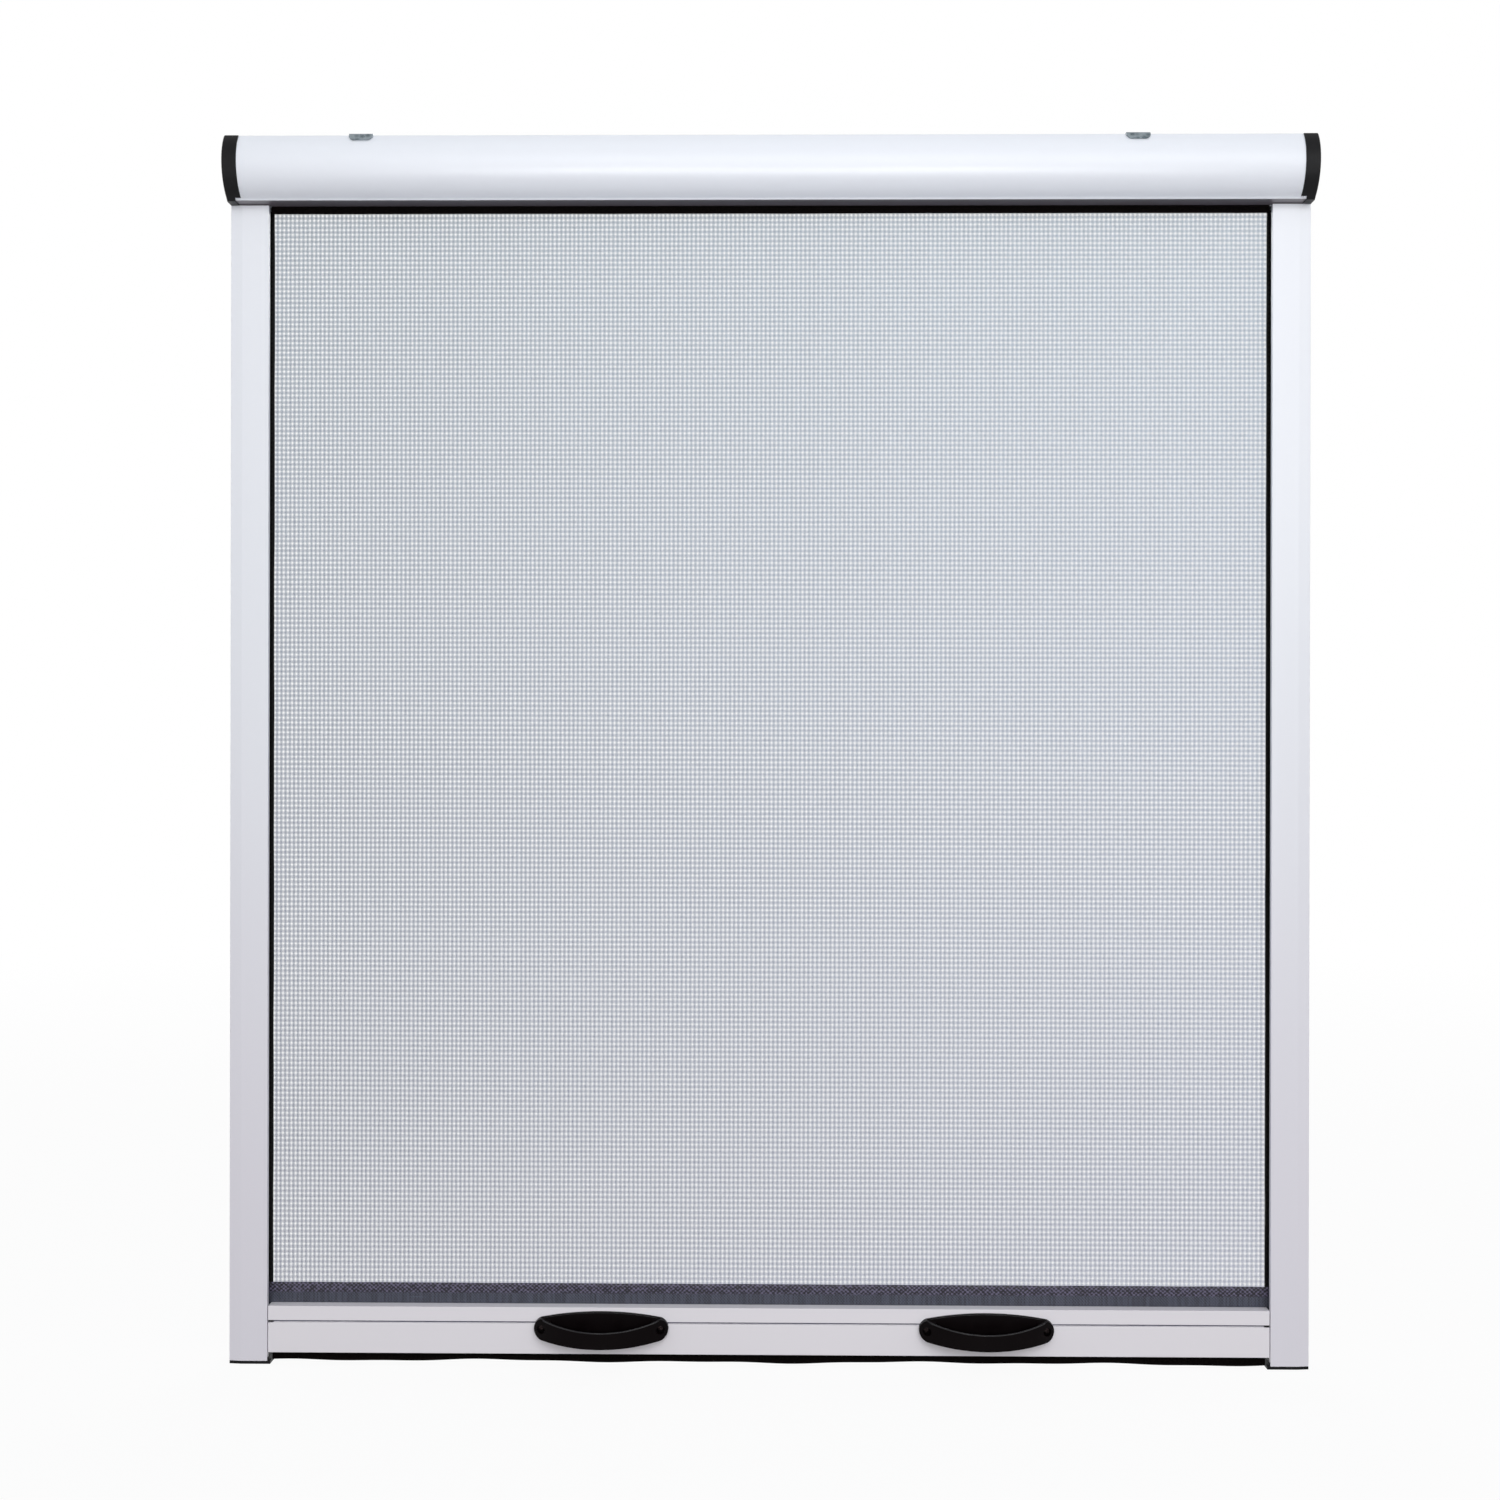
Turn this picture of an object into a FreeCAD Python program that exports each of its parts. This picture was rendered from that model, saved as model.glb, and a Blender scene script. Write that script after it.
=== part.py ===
import FreeCAD
import Part
import Sketcher
import math
import os

# Roll-up window screen frame, in millimetres.
# X runs to the right, Y to the back and Z up. The feet stand at Z = 0, the middle of the
# width and of the depth is at X = 0 and Y = 0, and the room side (front) is -Y.

os.makedirs("parts", exist_ok=True)
doc = FreeCAD.newDocument("RollUpScreen")
vec = FreeCAD.Vector

# Driving sizes: name, value, what it is.
SIZES = [
    ("width", 800.0, "over both guides and end caps"),
    ("height", 907.0, "sill to the top of the cassette"),
    ("depth", 48.0, "reveal depth from cassette bulge to wall side"),
    ("cas_high", 46.0, "cassette height"),
    ("cas_wall", 1.4, "cassette wall"),
    ("cas_bow", 29.0, "radius of the bowed cassette front"),
    ("cas_brow", 15.6, "top front edge, ahead of the middle plane"),
    ("cas_lip", 9.3, "lower front lip, ahead of the middle plane"),
    ("lip_high", 2.0, "lower front lip above the cassette bottom"),
    ("keeper_high", 5.5, "rebate for the clip at the back of the top"),
    ("cap_plate", 6.5, "end cap plate"),
    ("cap_proud", 1.0, "end cap stands proud of the bowed front"),
    ("cap_collar", 4.2, "end cap collar over the bowed front"),
    ("cap_plug", 6.0, "end cap plug inside the cassette"),
    ("slip", 0.2, "clearance of pieces that slide into each other"),
    ("guide_wide", 28.3, "guide seen from the front"),
    ("guide_front", 2.0, "front face of the guides behind the middle plane"),
    ("guide_wall", 1.3, "guide wall"),
    ("bevel_wide", 8.5, "outer facet of the guide front"),
    ("bevel_deep", 1.0, "fall of that facet"),
    ("pile_wide", 2.2, "thickness of every pile strip"),
    ("base_wide", 4.4, "width of every pile backing"),
    ("base_thick", 1.2, "thickness of every pile backing"),
    ("pile_show", 0.8, "rear pile past the guide inner edge"),
    ("rear_set", 4.2, "rear lip of the guide set back from its front lip"),
    ("pile_tip", 8.4, "tip of the front pile behind the middle plane"),
    ("jamb_bore", 4.5, "screw hole in the guide outer web"),
    ("jamb_bore_y", 9.7, "screw hole behind the middle plane"),
    ("jamb_low", 150.0, "lower jamb screw above the sill"),
    ("jamb_high", 700.0, "upper jamb screw above the sill"),
    ("foot_thick", 2.2, "plastic foot under each guide"),
    ("foot_nose", 2.2, "foot nose past the guide inner edge"),
    ("foot_plug", 9.0, "foot plug up into the guide"),
    ("roll_y", 0.5, "roller axis behind the middle plane"),
    ("roll_drop", 21.0, "roller axis below the cassette top"),
    ("tube_rad", 11.1, "roller tube radius"),
    ("tube_wall", 1.2, "roller tube wall"),
    ("tube_gap", 1.5, "roller tube short of the plug in the cap"),
    ("wound_rad", 12.2, "radius over the turns left on the roller"),
    ("pin_rad", 3.0, "shaft and pin radius"),
    ("pin_gap", 0.1, "running clearance round the shaft and the pin"),
    ("shaft_len", 150.0, "spring shaft inside the tube"),
    ("shaft_collar", 12.0, "collar at the inner end of the shaft"),
    ("wire_rad", 1.4, "torsion spring wire radius"),
    ("spring_in", 5.1, "inner radius of the torsion spring"),
    ("turns", 20.0, "turns of the torsion spring"),
    ("cloth_y", 13.0, "cloth plane behind the middle plane"),
    ("cloth_gap", 2.0, "cloth edge inside the end of the tube"),
    ("cloth_low", 58.0, "lower end of the open mesh above the sill"),
    ("cloth_thick", 0.4, "mesh thickness"),
    ("thread_wide", 2.4, "ridge of the mesh lattice"),
    ("cells_wide", 8.0, "lattice gaps side by side"),
    ("cells_high", 9.0, "lattice gaps one above the other"),
    ("tape_gap", 6.0, "hem tape edge inside the cloth edge"),
    ("tape_low", 14.0, "lower edge of the hem tape"),
    ("tape_thick", 0.6, "hem tape thickness"),
    ("bar_low", 8.5, "underside of the pull bar"),
    ("bar_high", 34.5, "pull bar height"),
    ("bar_front", 2.6, "front face of the pull bar"),
    ("bar_back", 12.4, "rear face of the pull bar"),
    ("bar_gap", 0.5, "pull bar end to the guide"),
    ("bar_wall", 1.4, "pull bar wall"),
    ("step_low", 22.4, "groove above the underside of the bar"),
    ("step_high", 1.5, "groove height"),
    ("step_deep", 1.2, "groove depth"),
    ("notch_long", 3.8, "notch at each end of the groove, open to the end plug"),
    ("hem_z", 9.5, "spline groove above the underside of the bar"),
    ("hem_rad", 2.3, "spline groove radius"),
    ("spline_rad", 2.0, "hem spline radius"),
    ("tongue_reach", 12.5, "sliding tongue past the end of the bar"),
    ("grip_z", 28.6, "handle middle above the sill"),
    ("grip_left", -0.15375, "left handle, share of the width"),
    ("grip_right", 0.2025, "right handle, share of the width"),
    ("grip_end_x", 44.5, "handle corner from its middle"),
    ("grip_end_z", 7.65, "half height at the handle ends"),
    ("grip_end_rad", 8.2, "rounding of the handle ends"),
    ("grip_top_rad", 237.8, "upper edge of the handle back plate"),
    ("grip_low_rad", 311.0, "lower edge of the handle"),
    ("grip_deep", 20.0, "handle stands out from the bar"),
    ("grip_plan_rad", 83.2, "bow of the handle front seen from above"),
    ("grip_wall", 2.5, "handle wall"),
    ("grip_ease", 0.8, "chamfer round the mouth of the finger cup"),
    ("grip_rim_rad", 155.0, "sagging upper rim of the handle front"),
    ("grip_rim_x", 47.5, "end of the rim from the middle"),
    ("grip_rim_z", 8.6, "height of the rim there"),
    ("cup_half", 37.5, "half of the finger cup length"),
    ("grip_screw_x", 44.2, "handle screw from the middle"),
    ("clip_left", -0.37375, "left mounting clip, share of the width"),
    ("clip_right", 0.33625, "right mounting clip, share of the width"),
    ("clip_wide", 17.6, "clip width"),
    ("clip_thick", 1.0, "clip sheet"),
    ("clip_drop", 4.6, "clip finger below the cassette top"),
    ("clip_bore", 4.5, "clip screw hole"),
    ("clip_bore_y", 3.0, "clip screw hole behind the middle plane"),
]

sheet = doc.addObject("Spreadsheet::Sheet", "Sizes")
for row, (alias, value, note) in enumerate(SIZES, start=1):
    sheet.set("A%d" % row, alias)
    sheet.set("B%d" % row, str(value))
    sheet.set("C%d" % row, note)
    sheet.setAlias("B%d" % row, alias)
doc.recompute()


class Size:
    """A length that knows its number and the expression that gives it."""

    def __init__(self, number, text):
        self.number = float(number)
        self.text = text

    def _join(self, other, sign, number):
        return Size(number, "(%s %s %s)" % (self.text, sign, other.text))

    def __add__(self, other):
        other = as_size(other)
        return self._join(other, "+", self.number + other.number)

    def __radd__(self, other):
        return as_size(other) + self

    def __sub__(self, other):
        other = as_size(other)
        return self._join(other, "-", self.number - other.number)

    def __rsub__(self, other):
        return as_size(other) - self

    def __mul__(self, other):
        other = as_size(other)
        return self._join(other, "*", self.number * other.number)

    def __rmul__(self, other):
        return as_size(other) * self

    def __truediv__(self, other):
        other = as_size(other)
        return self._join(other, "/", self.number / other.number)

    def __neg__(self):
        return Size(-self.number, "(-1 * %s)" % self.text)


def as_size(item):
    if isinstance(item, Size):
        return item
    return Size(item, repr(float(item)))


def size(alias):
    return Size(float(sheet.get(alias)), "Sizes." + alias)


NODES = []


def bind(target, prop, length):
    """Give a property its value now and keep it tied to the sheet."""
    target.setExpression(prop, as_size(length).text)


def place(target, x=0.0, y=0.0, z=0.0):
    bind(target, "Placement.Base.x", x)
    bind(target, "Placement.Base.y", y)
    bind(target, "Placement.Base.z", z)


def new_body(name):
    body = doc.addObject("PartDesign::Body", name)
    body.Label = name
    NODES.append((name, body))
    return body


def corner_position(sketch, index, point):
    start = sketch.Geometry[index].StartPoint
    return 1 if start.distanceToPoint(point) < 1e-5 else 2


class Bow:
    """Marks the edge that leaves a corner as an arc: radius, side and whether it is the long way."""

    def __init__(self, radius, side, long_way=False):
        self.radius = as_size(radius)
        self.side = side
        self.long_way = long_way


def bow_edge(start, end, bow):
    chord = end - start
    half = chord.Length / 2.0
    rise = math.sqrt(max(bow.radius.number ** 2 - half ** 2, 0.0))
    sagitta = bow.radius.number + rise if bow.long_way else bow.radius.number - rise
    left = vec(-chord.y, chord.x, 0).normalize()
    middle = (start + end) * 0.5 + left * (bow.side * sagitta)
    if bow.side > 0:
        return Part.Arc(end, middle, start)
    return Part.Arc(start, middle, end)


def add_loop(sketch, loop):
    """Closed outline: corners as pairs of sizes, with a Bow after a corner whose edge is an arc."""
    corners = []
    bows = []
    for item in loop:
        if isinstance(item, Bow):
            bows[-1] = item
        else:
            corners.append((as_size(item[0]), as_size(item[1])))
            bows.append(None)
    points = [vec(across.number, up.number, 0) for across, up in corners]
    first = sketch.GeometryCount
    edges = []
    for index, point in enumerate(points):
        after = points[(index + 1) % len(points)]
        if bows[index] is None:
            edges.append(Part.LineSegment(point, after))
        else:
            edges.append(bow_edge(point, after, bows[index]))
    sketch.addGeometry(edges, False)
    count = len(points)
    starts = [corner_position(sketch, first + index, points[index]) for index in range(count)]
    ends = [3 - position for position in starts]
    rules = []
    texts = []
    for index, point in enumerate(points):
        here = first + index
        before = first + (index - 1) % count
        rules.append(Sketcher.Constraint("Coincident", before, ends[(index - 1) % count],
                                         here, starts[index]))
        texts.append(None)
        rules.append(Sketcher.Constraint("DistanceX", here, starts[index], point.x))
        texts.append(corners[index][0].text)
        rules.append(Sketcher.Constraint("DistanceY", here, starts[index], point.y))
        texts.append(corners[index][1].text)
        if bows[index] is not None:
            rules.append(Sketcher.Constraint("Radius", here, bows[index].radius.number))
            texts.append(bows[index].radius.text)
    begin = sketch.ConstraintCount
    sketch.addConstraint(rules)
    for index, text in enumerate(texts):
        if text is not None:
            sketch.setExpression("Constraints[%d]" % (begin + index), text)


def add_ring(sketch, across, up, radius):
    across = as_size(across)
    up = as_size(up)
    radius = as_size(radius)
    middle = vec(across.number, up.number, 0)
    index = sketch.addGeometry(Part.Circle(middle, vec(0, 0, 1), radius.number), False)
    item = sketch.addConstraint(Sketcher.Constraint("DistanceX", index, 3, middle.x))
    sketch.setExpression("Constraints[%d]" % item, across.text)
    item = sketch.addConstraint(Sketcher.Constraint("DistanceY", index, 3, middle.y))
    sketch.setExpression("Constraints[%d]" % item, up.text)
    item = sketch.addConstraint(Sketcher.Constraint("Radius", index, radius.number))
    sketch.setExpression("Constraints[%d]" % item, radius.text)


def new_sketch(body, name, role, lift=0.0):
    """Sketch on one of the body's own planes, moved along the plane's normal by lift."""
    sketch = body.newObject("Sketcher::SketchObject", body.Name + name)
    plane = [part for part in body.Origin.OriginFeatures if part.Role == role][0]
    sketch.AttachmentSupport = [(plane, "")]
    sketch.MapMode = "FlatFace"
    bind(sketch, "AttachmentOffset.Base.z", lift)
    return sketch


def outline(body, name, role, loops, rings=(), lift=0.0):
    sketch = new_sketch(body, name, role, lift)
    for loop in loops:
        add_loop(sketch, loop)
    for ring in rings:
        add_ring(sketch, *ring)
    return sketch


def pad(body, sketch, length, back=False, both=False):
    feature = body.newObject("PartDesign::Pad", sketch.Name + "Pad")
    feature.Profile = sketch
    bind(feature, "Length", length)
    feature.Reversed = back
    if both:
        feature.SideType = "Symmetric"
    sketch.Visibility = False
    body.Tip = feature
    return feature


def pocket(body, sketch, length, back=False, both=False):
    doc.recompute()
    before = body.Shape.Volume
    feature = body.newObject("PartDesign::Pocket", sketch.Name + "Cut")
    feature.Profile = sketch
    bind(feature, "Length", length)
    feature.Reversed = back
    if both:
        feature.SideType = "Symmetric"
    body.Tip = feature
    doc.recompute()
    if body.Shape.Volume > before - 1e-6:
        raise RuntimeError("nothing was cut by " + feature.Name)
    return feature


def soften(body, radius, wanted, kind="Fillet"):
    """Round or chamfer every edge of the body's present shape that the test picks."""
    doc.recompute()
    base = body.Tip
    names = []
    for index, edge in enumerate(base.Shape.Edges, start=1):
        if wanted(edge):
            names.append("Edge%d" % index)
    if not names:
        raise RuntimeError("no edge to round on " + body.Name)
    feature = body.newObject("PartDesign::" + kind, body.Name + "Soft%d" % len(body.Group))
    feature.Base = (base, names)
    bind(feature, "Radius" if kind == "Fillet" else "Size", radius)
    body.Tip = feature
    return feature


# Named sizes used below.
width = size("width")
height = size("height")
half_wide = width / 2
half_deep = size("depth") / 2
cas_high = size("cas_high")
cas_wall = size("cas_wall")
cas_bow = size("cas_bow")
cas_brow = size("cas_brow")
cas_lip = size("cas_lip")
lip_high = size("lip_high")
slip = size("slip")
pile_wide = size("pile_wide")
base_wide = size("base_wide")
base_thick = size("base_thick")
cas_low = height - cas_high
cas_half = half_wide - size("cap_plate")
roll_y = size("roll_y")
roll_z = cas_high - size("roll_drop")
keeper = size("clip_thick") + slip
seat = 0.1

# Drip lip and rear mouth of the cassette, where the pile strip hangs ahead of the cloth.
brush_y = 8.65
slot_half = base_wide / 2 + seat
throat_half = pile_wide / 2 + seat
floor_top = 0.6 + cas_wall
lips_top = 1.6
slot_top = lips_top + base_thick + seat
slot_roof = slot_top + 1.2

# Cassette: one extrusion with a bowed front, a pile slot and an open mouth at the rear.
cassette = new_body("cassette")
inner_bow = cas_bow - cas_wall
inner_brow = cas_brow - 0.6
inner_lip = cas_lip - 3.0
keep_z = cas_high - size("keeper_high")
section = outline(cassette, "Section", "YZ_Plane", [[
    (half_deep, 0.0),
    (half_deep, keep_z),
    (half_deep - keeper, keep_z),
    (half_deep - keeper, cas_high),
    (-cas_brow, cas_high), Bow(cas_bow, -1),
    (-cas_lip, lip_high),
    (-cas_lip + 1.1, 0.6),
    (brush_y - throat_half, 0.6),
    (brush_y - throat_half, lips_top),
    (brush_y - slot_half, lips_top),
    (brush_y - slot_half, slot_top),
    (brush_y + slot_half, slot_top),
    (brush_y + slot_half, lips_top),
    (brush_y + throat_half, lips_top),
    (brush_y + throat_half, 0.6),
    (brush_y + slot_half + 1.2, 0.6),
    (brush_y + slot_half + 1.2, slot_roof),
    (brush_y - slot_half - 1.2, slot_roof),
    (brush_y - slot_half - 1.2, floor_top),
    (-inner_lip, floor_top), Bow(inner_bow, 1),
    (-inner_brow, cas_high - cas_wall),
    (half_deep - keeper - cas_wall, cas_high - cas_wall),
    (half_deep - keeper - cas_wall, keep_z - cas_wall),
    (half_deep - cas_wall, keep_z - cas_wall),
    (half_deep - cas_wall, 1.4),
    (half_deep - 3.4, 1.4),
    (half_deep - 3.4, 0.0),
]])
pad(cassette, section, cas_half * 2, both=True)
place(cassette, z=cas_low)

# Pile strip under the cassette.
cassette_brush = new_body("cassette_brush")
section = outline(cassette_brush, "Section", "YZ_Plane", [[
    (-pile_wide / 2, -5.0),
    (pile_wide / 2, -5.0),
    (pile_wide / 2, lips_top),
    (base_wide / 2, lips_top),
    (base_wide / 2, lips_top + base_thick),
    (-base_wide / 2, lips_top + base_thick),
    (-base_wide / 2, lips_top),
    (-pile_wide / 2, lips_top),
]])
pad(cassette_brush, section, (half_wide - size("guide_wide") - 0.6) * 2, both=True)
place(cassette_brush, y=brush_y, z=cas_low)


def end_cap(name, side):
    """Moulded cap: plate, collar over the bow, plug ribs, bearing boss and guide tongue."""
    body = new_body(name)
    back = side < 0
    proud = size("cap_proud")
    plate_x = cas_half * side
    brow = cas_brow + proud * 1.3
    lip = cas_lip + proud * 1.8
    plate = outline(body, "Plate", "YZ_Plane", [[
        (half_deep, 0.0),
        (half_deep, cas_high),
        (-brow, cas_high), Bow(cas_bow + proud, -1),
        (-lip, lip_high),
        (-lip + 2.4, 0.0),
    ]], lift=plate_x)
    pad(body, plate, size("cap_plate"), back=back)

    def outer_rim(edge):
        box = edge.BoundBox
        outer = half_wide.number * side
        flat = box.XLength < 0.01 and abs(box.XMin - outer) < 0.01
        return flat and box.ZMax > 10.0 and box.YMin < half_deep.number - 1.0

    soften(body, 0.8, outer_rim, kind="Chamfer")
    collar = outline(body, "Collar", "YZ_Plane", [[
        (-brow, cas_high), Bow(cas_bow + proud, -1),
        (-lip, lip_high),
        (-lip + 1.4, lip_high + 0.2), Bow(cas_bow + seat, 1),
        (-cas_brow - 0.18, cas_high),
    ]], lift=plate_x)
    pad(body, collar, size("cap_collar"), back=not back)
    rib = 1.6
    plug_back = half_deep - keeper - cas_wall - slip
    plug_top = cas_high - cas_wall - slip
    plug = outline(body, "Plug", "YZ_Plane", [[
        (plug_back, 8.0),
        (plug_back, plug_top),
        (-inner_brow + 0.15, plug_top), Bow(inner_bow - slip, -1),
        (-inner_brow + 0.15, 9.0),
        (-inner_brow + 2.25, 9.0), Bow(inner_bow - slip - rib, 1),
        (-inner_brow + 0.85, plug_top - rib),
        (plug_back - rib, plug_top - rib),
        (plug_back - rib, 8.0),
    ]], lift=plate_x)
    pad(body, plug, size("cap_plug"), back=not back)
    boss = outline(body, "Boss", "YZ_Plane", [], rings=[(roll_y, roll_z, 8.0)], lift=plate_x)
    pad(body, boss, size("cap_plug"), back=not back)
    tongue_in = outline(body, "Tongue", "XY_Plane", [[
        ((cas_half + 0.3) * side, 6.0),
        ((half_wide - size("guide_wall") - slip) * side, 6.0),
        ((half_wide - size("guide_wall") - slip) * side, half_deep - size("guide_wall") - slip),
        ((cas_half + 0.3) * side, half_deep - size("guide_wall") - slip),
    ]])
    pad(body, tongue_in, 18.0, back=True)
    if side < 0:
        square = 2.2
        socket = outline(body, "Socket", "YZ_Plane", [[
            (roll_y - square, roll_z - square),
            (roll_y + square, roll_z - square),
            (roll_y + square, roll_z + square),
            (roll_y - square, roll_z + square),
        ]], lift=(cas_half - size("cap_plug") - 1.0) * side)
        pocket(body, socket, size("cap_plug") + 5.0, back=False)
    else:
        bore = outline(body, "Bore", "YZ_Plane", [], lift=cas_half - size("cap_plug") - 1.0,
                       rings=[(roll_y, roll_z, size("pin_rad") + size("pin_gap"))])
        pocket(body, bore, size("cap_plug") + 5.0, back=True)

    place(body, z=cas_low)
    return body


end_cap_left = end_cap("end_cap_left", -1)
end_cap_right = end_cap("end_cap_right", 1)

# Guides: an open channel. "u" runs from the inner edge outwards, "v" is the depth.
guide_wide = size("guide_wide")
guide_wall = size("guide_wall")
guide_front = size("guide_front")
bevel_in = guide_wide - size("bevel_wide")
foot_thick = size("foot_thick")
guide_x = half_wide - guide_wide
rear_set = size("rear_set")
front_pile_u = 3.7
rear_pile_v = 16.8
web = 1.2


def guide(name, side):
    body = new_body(name)
    u_slot = base_wide / 2 + seat
    u_open = pile_wide / 2 + seat
    v_in = guide_front + guide_wall
    v_lip = v_in + base_thick + 0.3
    v_end = v_lip + 1.1
    back_in = half_deep - guide_wall
    deep = web + base_thick + 0.2
    corners = [
        (0.0, guide_front),
        (bevel_in, guide_front),
        (guide_wide, guide_front + size("bevel_deep")),
        (guide_wide, half_deep),
        (rear_set, half_deep),
        (rear_set, rear_pile_v + u_open),
        (rear_set + web, rear_pile_v + u_open),
        (rear_set + web, rear_pile_v + u_slot),
        (rear_set + deep, rear_pile_v + u_slot),
        (rear_set + deep, rear_pile_v - u_slot),
        (rear_set + web, rear_pile_v - u_slot),
        (rear_set + web, rear_pile_v - u_open),
        (rear_set, rear_pile_v - u_open),
        (rear_set, rear_pile_v - u_slot - 1.0),
        (rear_set + deep + 1.0, rear_pile_v - u_slot - 1.0),
        (rear_set + deep + 1.0, rear_pile_v + u_slot + 1.0),
        (rear_set + web, rear_pile_v + u_slot + 1.0),
        (rear_set + web, back_in),
        (guide_wide - guide_wall, back_in),
        (guide_wide - guide_wall, v_in + size("bevel_deep") - 0.1),
        (bevel_in, v_in),
        (front_pile_u + u_slot + web, v_in),
        (front_pile_u + u_slot + web, v_end),
        (front_pile_u + u_open, v_end),
        (front_pile_u + u_open, v_lip),
        (front_pile_u + u_slot, v_lip),
        (front_pile_u + u_slot, v_in),
        (front_pile_u - u_slot, v_in),
        (front_pile_u - u_slot, v_lip),
        (front_pile_u - u_open, v_lip),
        (front_pile_u - u_open, v_end),
        (0.0, v_end),
    ]
    section = outline(body, "Section", "XY_Plane", [[(as_size(u) * side, v) for u, v in corners]])
    pad(body, section, cas_low - foot_thick)
    bores = [(size("jamb_bore_y"), size(at) - foot_thick, size("jamb_bore") / 2)
             for at in ("jamb_low", "jamb_high")]
    screws = outline(body, "Screws", "YZ_Plane", [], rings=bores, lift=(guide_wide + 1.0) * side)
    pocket(body, screws, guide_wall + 2.0, back=side < 0)
    place(body, x=guide_x * side, z=foot_thick)
    return body


def front_brush(name, side):
    """Pile strip inside the front lip of a guide, facing the cloth."""
    body = new_body(name)
    v_base = guide_front + guide_wall + seat
    v_pile = guide_front + guide_wall + base_thick + seat
    corners = [
        (front_pile_u - base_wide / 2, v_base),
        (front_pile_u + base_wide / 2, v_base),
        (front_pile_u + base_wide / 2, v_pile),
        (front_pile_u + pile_wide / 2, v_pile),
        (front_pile_u + pile_wide / 2, size("pile_tip")),
        (front_pile_u - pile_wide / 2, size("pile_tip")),
        (front_pile_u - pile_wide / 2, v_pile),
        (front_pile_u - base_wide / 2, v_pile),
    ]
    section = outline(body, "Section", "XY_Plane", [[(as_size(u) * side, v) for u, v in corners]])
    pad(body, section, cas_low - 6.0)
    place(body, x=guide_x * side, z=5.0)
    return body


def rear_brush(name, side):
    """Pile strip behind the cloth that shows past the inner edge of a guide."""
    body = new_body(name)
    show = size("pile_show")
    root = rear_set + web + seat
    corners = [
        (-show, rear_pile_v - pile_wide / 2),
        (root, rear_pile_v - pile_wide / 2),
        (root, rear_pile_v - base_wide / 2),
        (root + base_thick, rear_pile_v - base_wide / 2),
        (root + base_thick, rear_pile_v + base_wide / 2),
        (root, rear_pile_v + base_wide / 2),
        (root, rear_pile_v + pile_wide / 2),
        (-show, rear_pile_v + pile_wide / 2),
    ]
    section = outline(body, "Section", "XY_Plane", [[(as_size(u) * side, v) for u, v in corners]])
    pad(body, section, cas_low - 6.0)
    place(body, x=guide_x * side, z=5.0)
    return body


def foot(name, side):
    """Black foot: sole, chamfered nose and a plug up into the guide."""
    body = new_body(name)
    nose = size("foot_nose")
    sole = outline(body, "Sole", "XY_Plane", [[
        (-nose * side, guide_front),
        (bevel_in * side, guide_front),
        (guide_wide * side, guide_front + size("bevel_deep")),
        (guide_wide * side, half_deep),
        (-nose * side, half_deep),
    ]])
    pad(body, sole, foot_thick)
    ramp = outline(body, "Nose", "XZ_Plane", [[
        (-nose * side, 1.0),
        (-nose * side, foot_thick),
        (-0.3 * side, foot_thick + 2.4),
        (-0.3 * side, 1.0),
    ]], lift=-half_deep)
    pad(body, ramp, half_deep - guide_front)
    lip_end = rear_set + web + base_thick + 1.2
    inner = lip_end + 0.3
    plug = outline(body, "Plug", "XY_Plane", [[
        (inner * side, 6.4),
        ((guide_wide - guide_wall - slip) * side, 6.4),
        ((guide_wide - guide_wall - slip) * side, half_deep - guide_wall - slip),
        (inner * side, half_deep - guide_wall - slip),
    ], [
        ((inner + 1.6) * side, 8.0),
        ((guide_wide - guide_wall - slip - 1.6) * side, 8.0),
        ((guide_wide - guide_wall - slip - 1.6) * side, half_deep - guide_wall - slip - 1.6),
        ((inner + 1.6) * side, half_deep - guide_wall - slip - 1.6),
    ]], lift=foot_thick)
    pad(body, plug, size("foot_plug"))
    place(body, x=guide_x * side)
    return body


for tag, side in (("left", -1), ("right", 1)):
    guide("guide_" + tag, side)
    front_brush("guide_brush_front_" + tag, side)
    rear_brush("guide_brush_rear_" + tag, side)
    foot("guide_foot_" + tag, side)


def clip(name, at):
    """Spring clip of bent sheet: hooks over the top front edge and into the rear rebate."""
    body = new_body(name)
    thick = size("clip_thick")
    drop = size("clip_drop")
    bend = cas_bow + 0.25
    section = outline(body, "Section", "YZ_Plane", [[
        (-cas_brow - 0.4, 0.0), Bow(bend, -1),
        (-cas_brow - 3.7, -drop),
        (-cas_brow - 4.78, -drop + 0.1), Bow(bend + thick, 1),
        (-cas_brow - 0.85, thick),
        (half_deep, thick),
        (half_deep, -size("keeper_high") + 1.0),
        (half_deep - thick, -size("keeper_high") + 1.0),
        (half_deep - thick, 0.0),
    ]])
    pad(body, section, size("clip_wide"), both=True)
    hole = outline(body, "Hole", "XY_Plane", [], lift=-0.5,
                   rings=[(0.0, size("clip_bore_y"), size("clip_bore") / 2)])
    pocket(body, hole, thick + 1.0, back=True)

    half = size("clip_wide") / 2
    bend_in = 4.0
    tips = outline(body, "Tips", "XZ_Plane", [[
        ((half + 1.0) * hand, -drop - 1.0),
        ((half + 1.0) * hand, -drop + bend_in),
        (half * hand, -drop + bend_in), Bow(bend_in, hand),
        ((half - bend_in) * hand, -drop),
        ((half - bend_in) * hand, -drop - 1.0),
    ] for hand in (-1, 1)], lift=cas_brow - 3.0)
    pocket(body, tips, 20.0, back=True)
    place(body, x=at, z=height)
    return body


clip("mounting_clip_left", width * size("clip_left"))
clip("mounting_clip_right", width * size("clip_right"))

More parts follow.
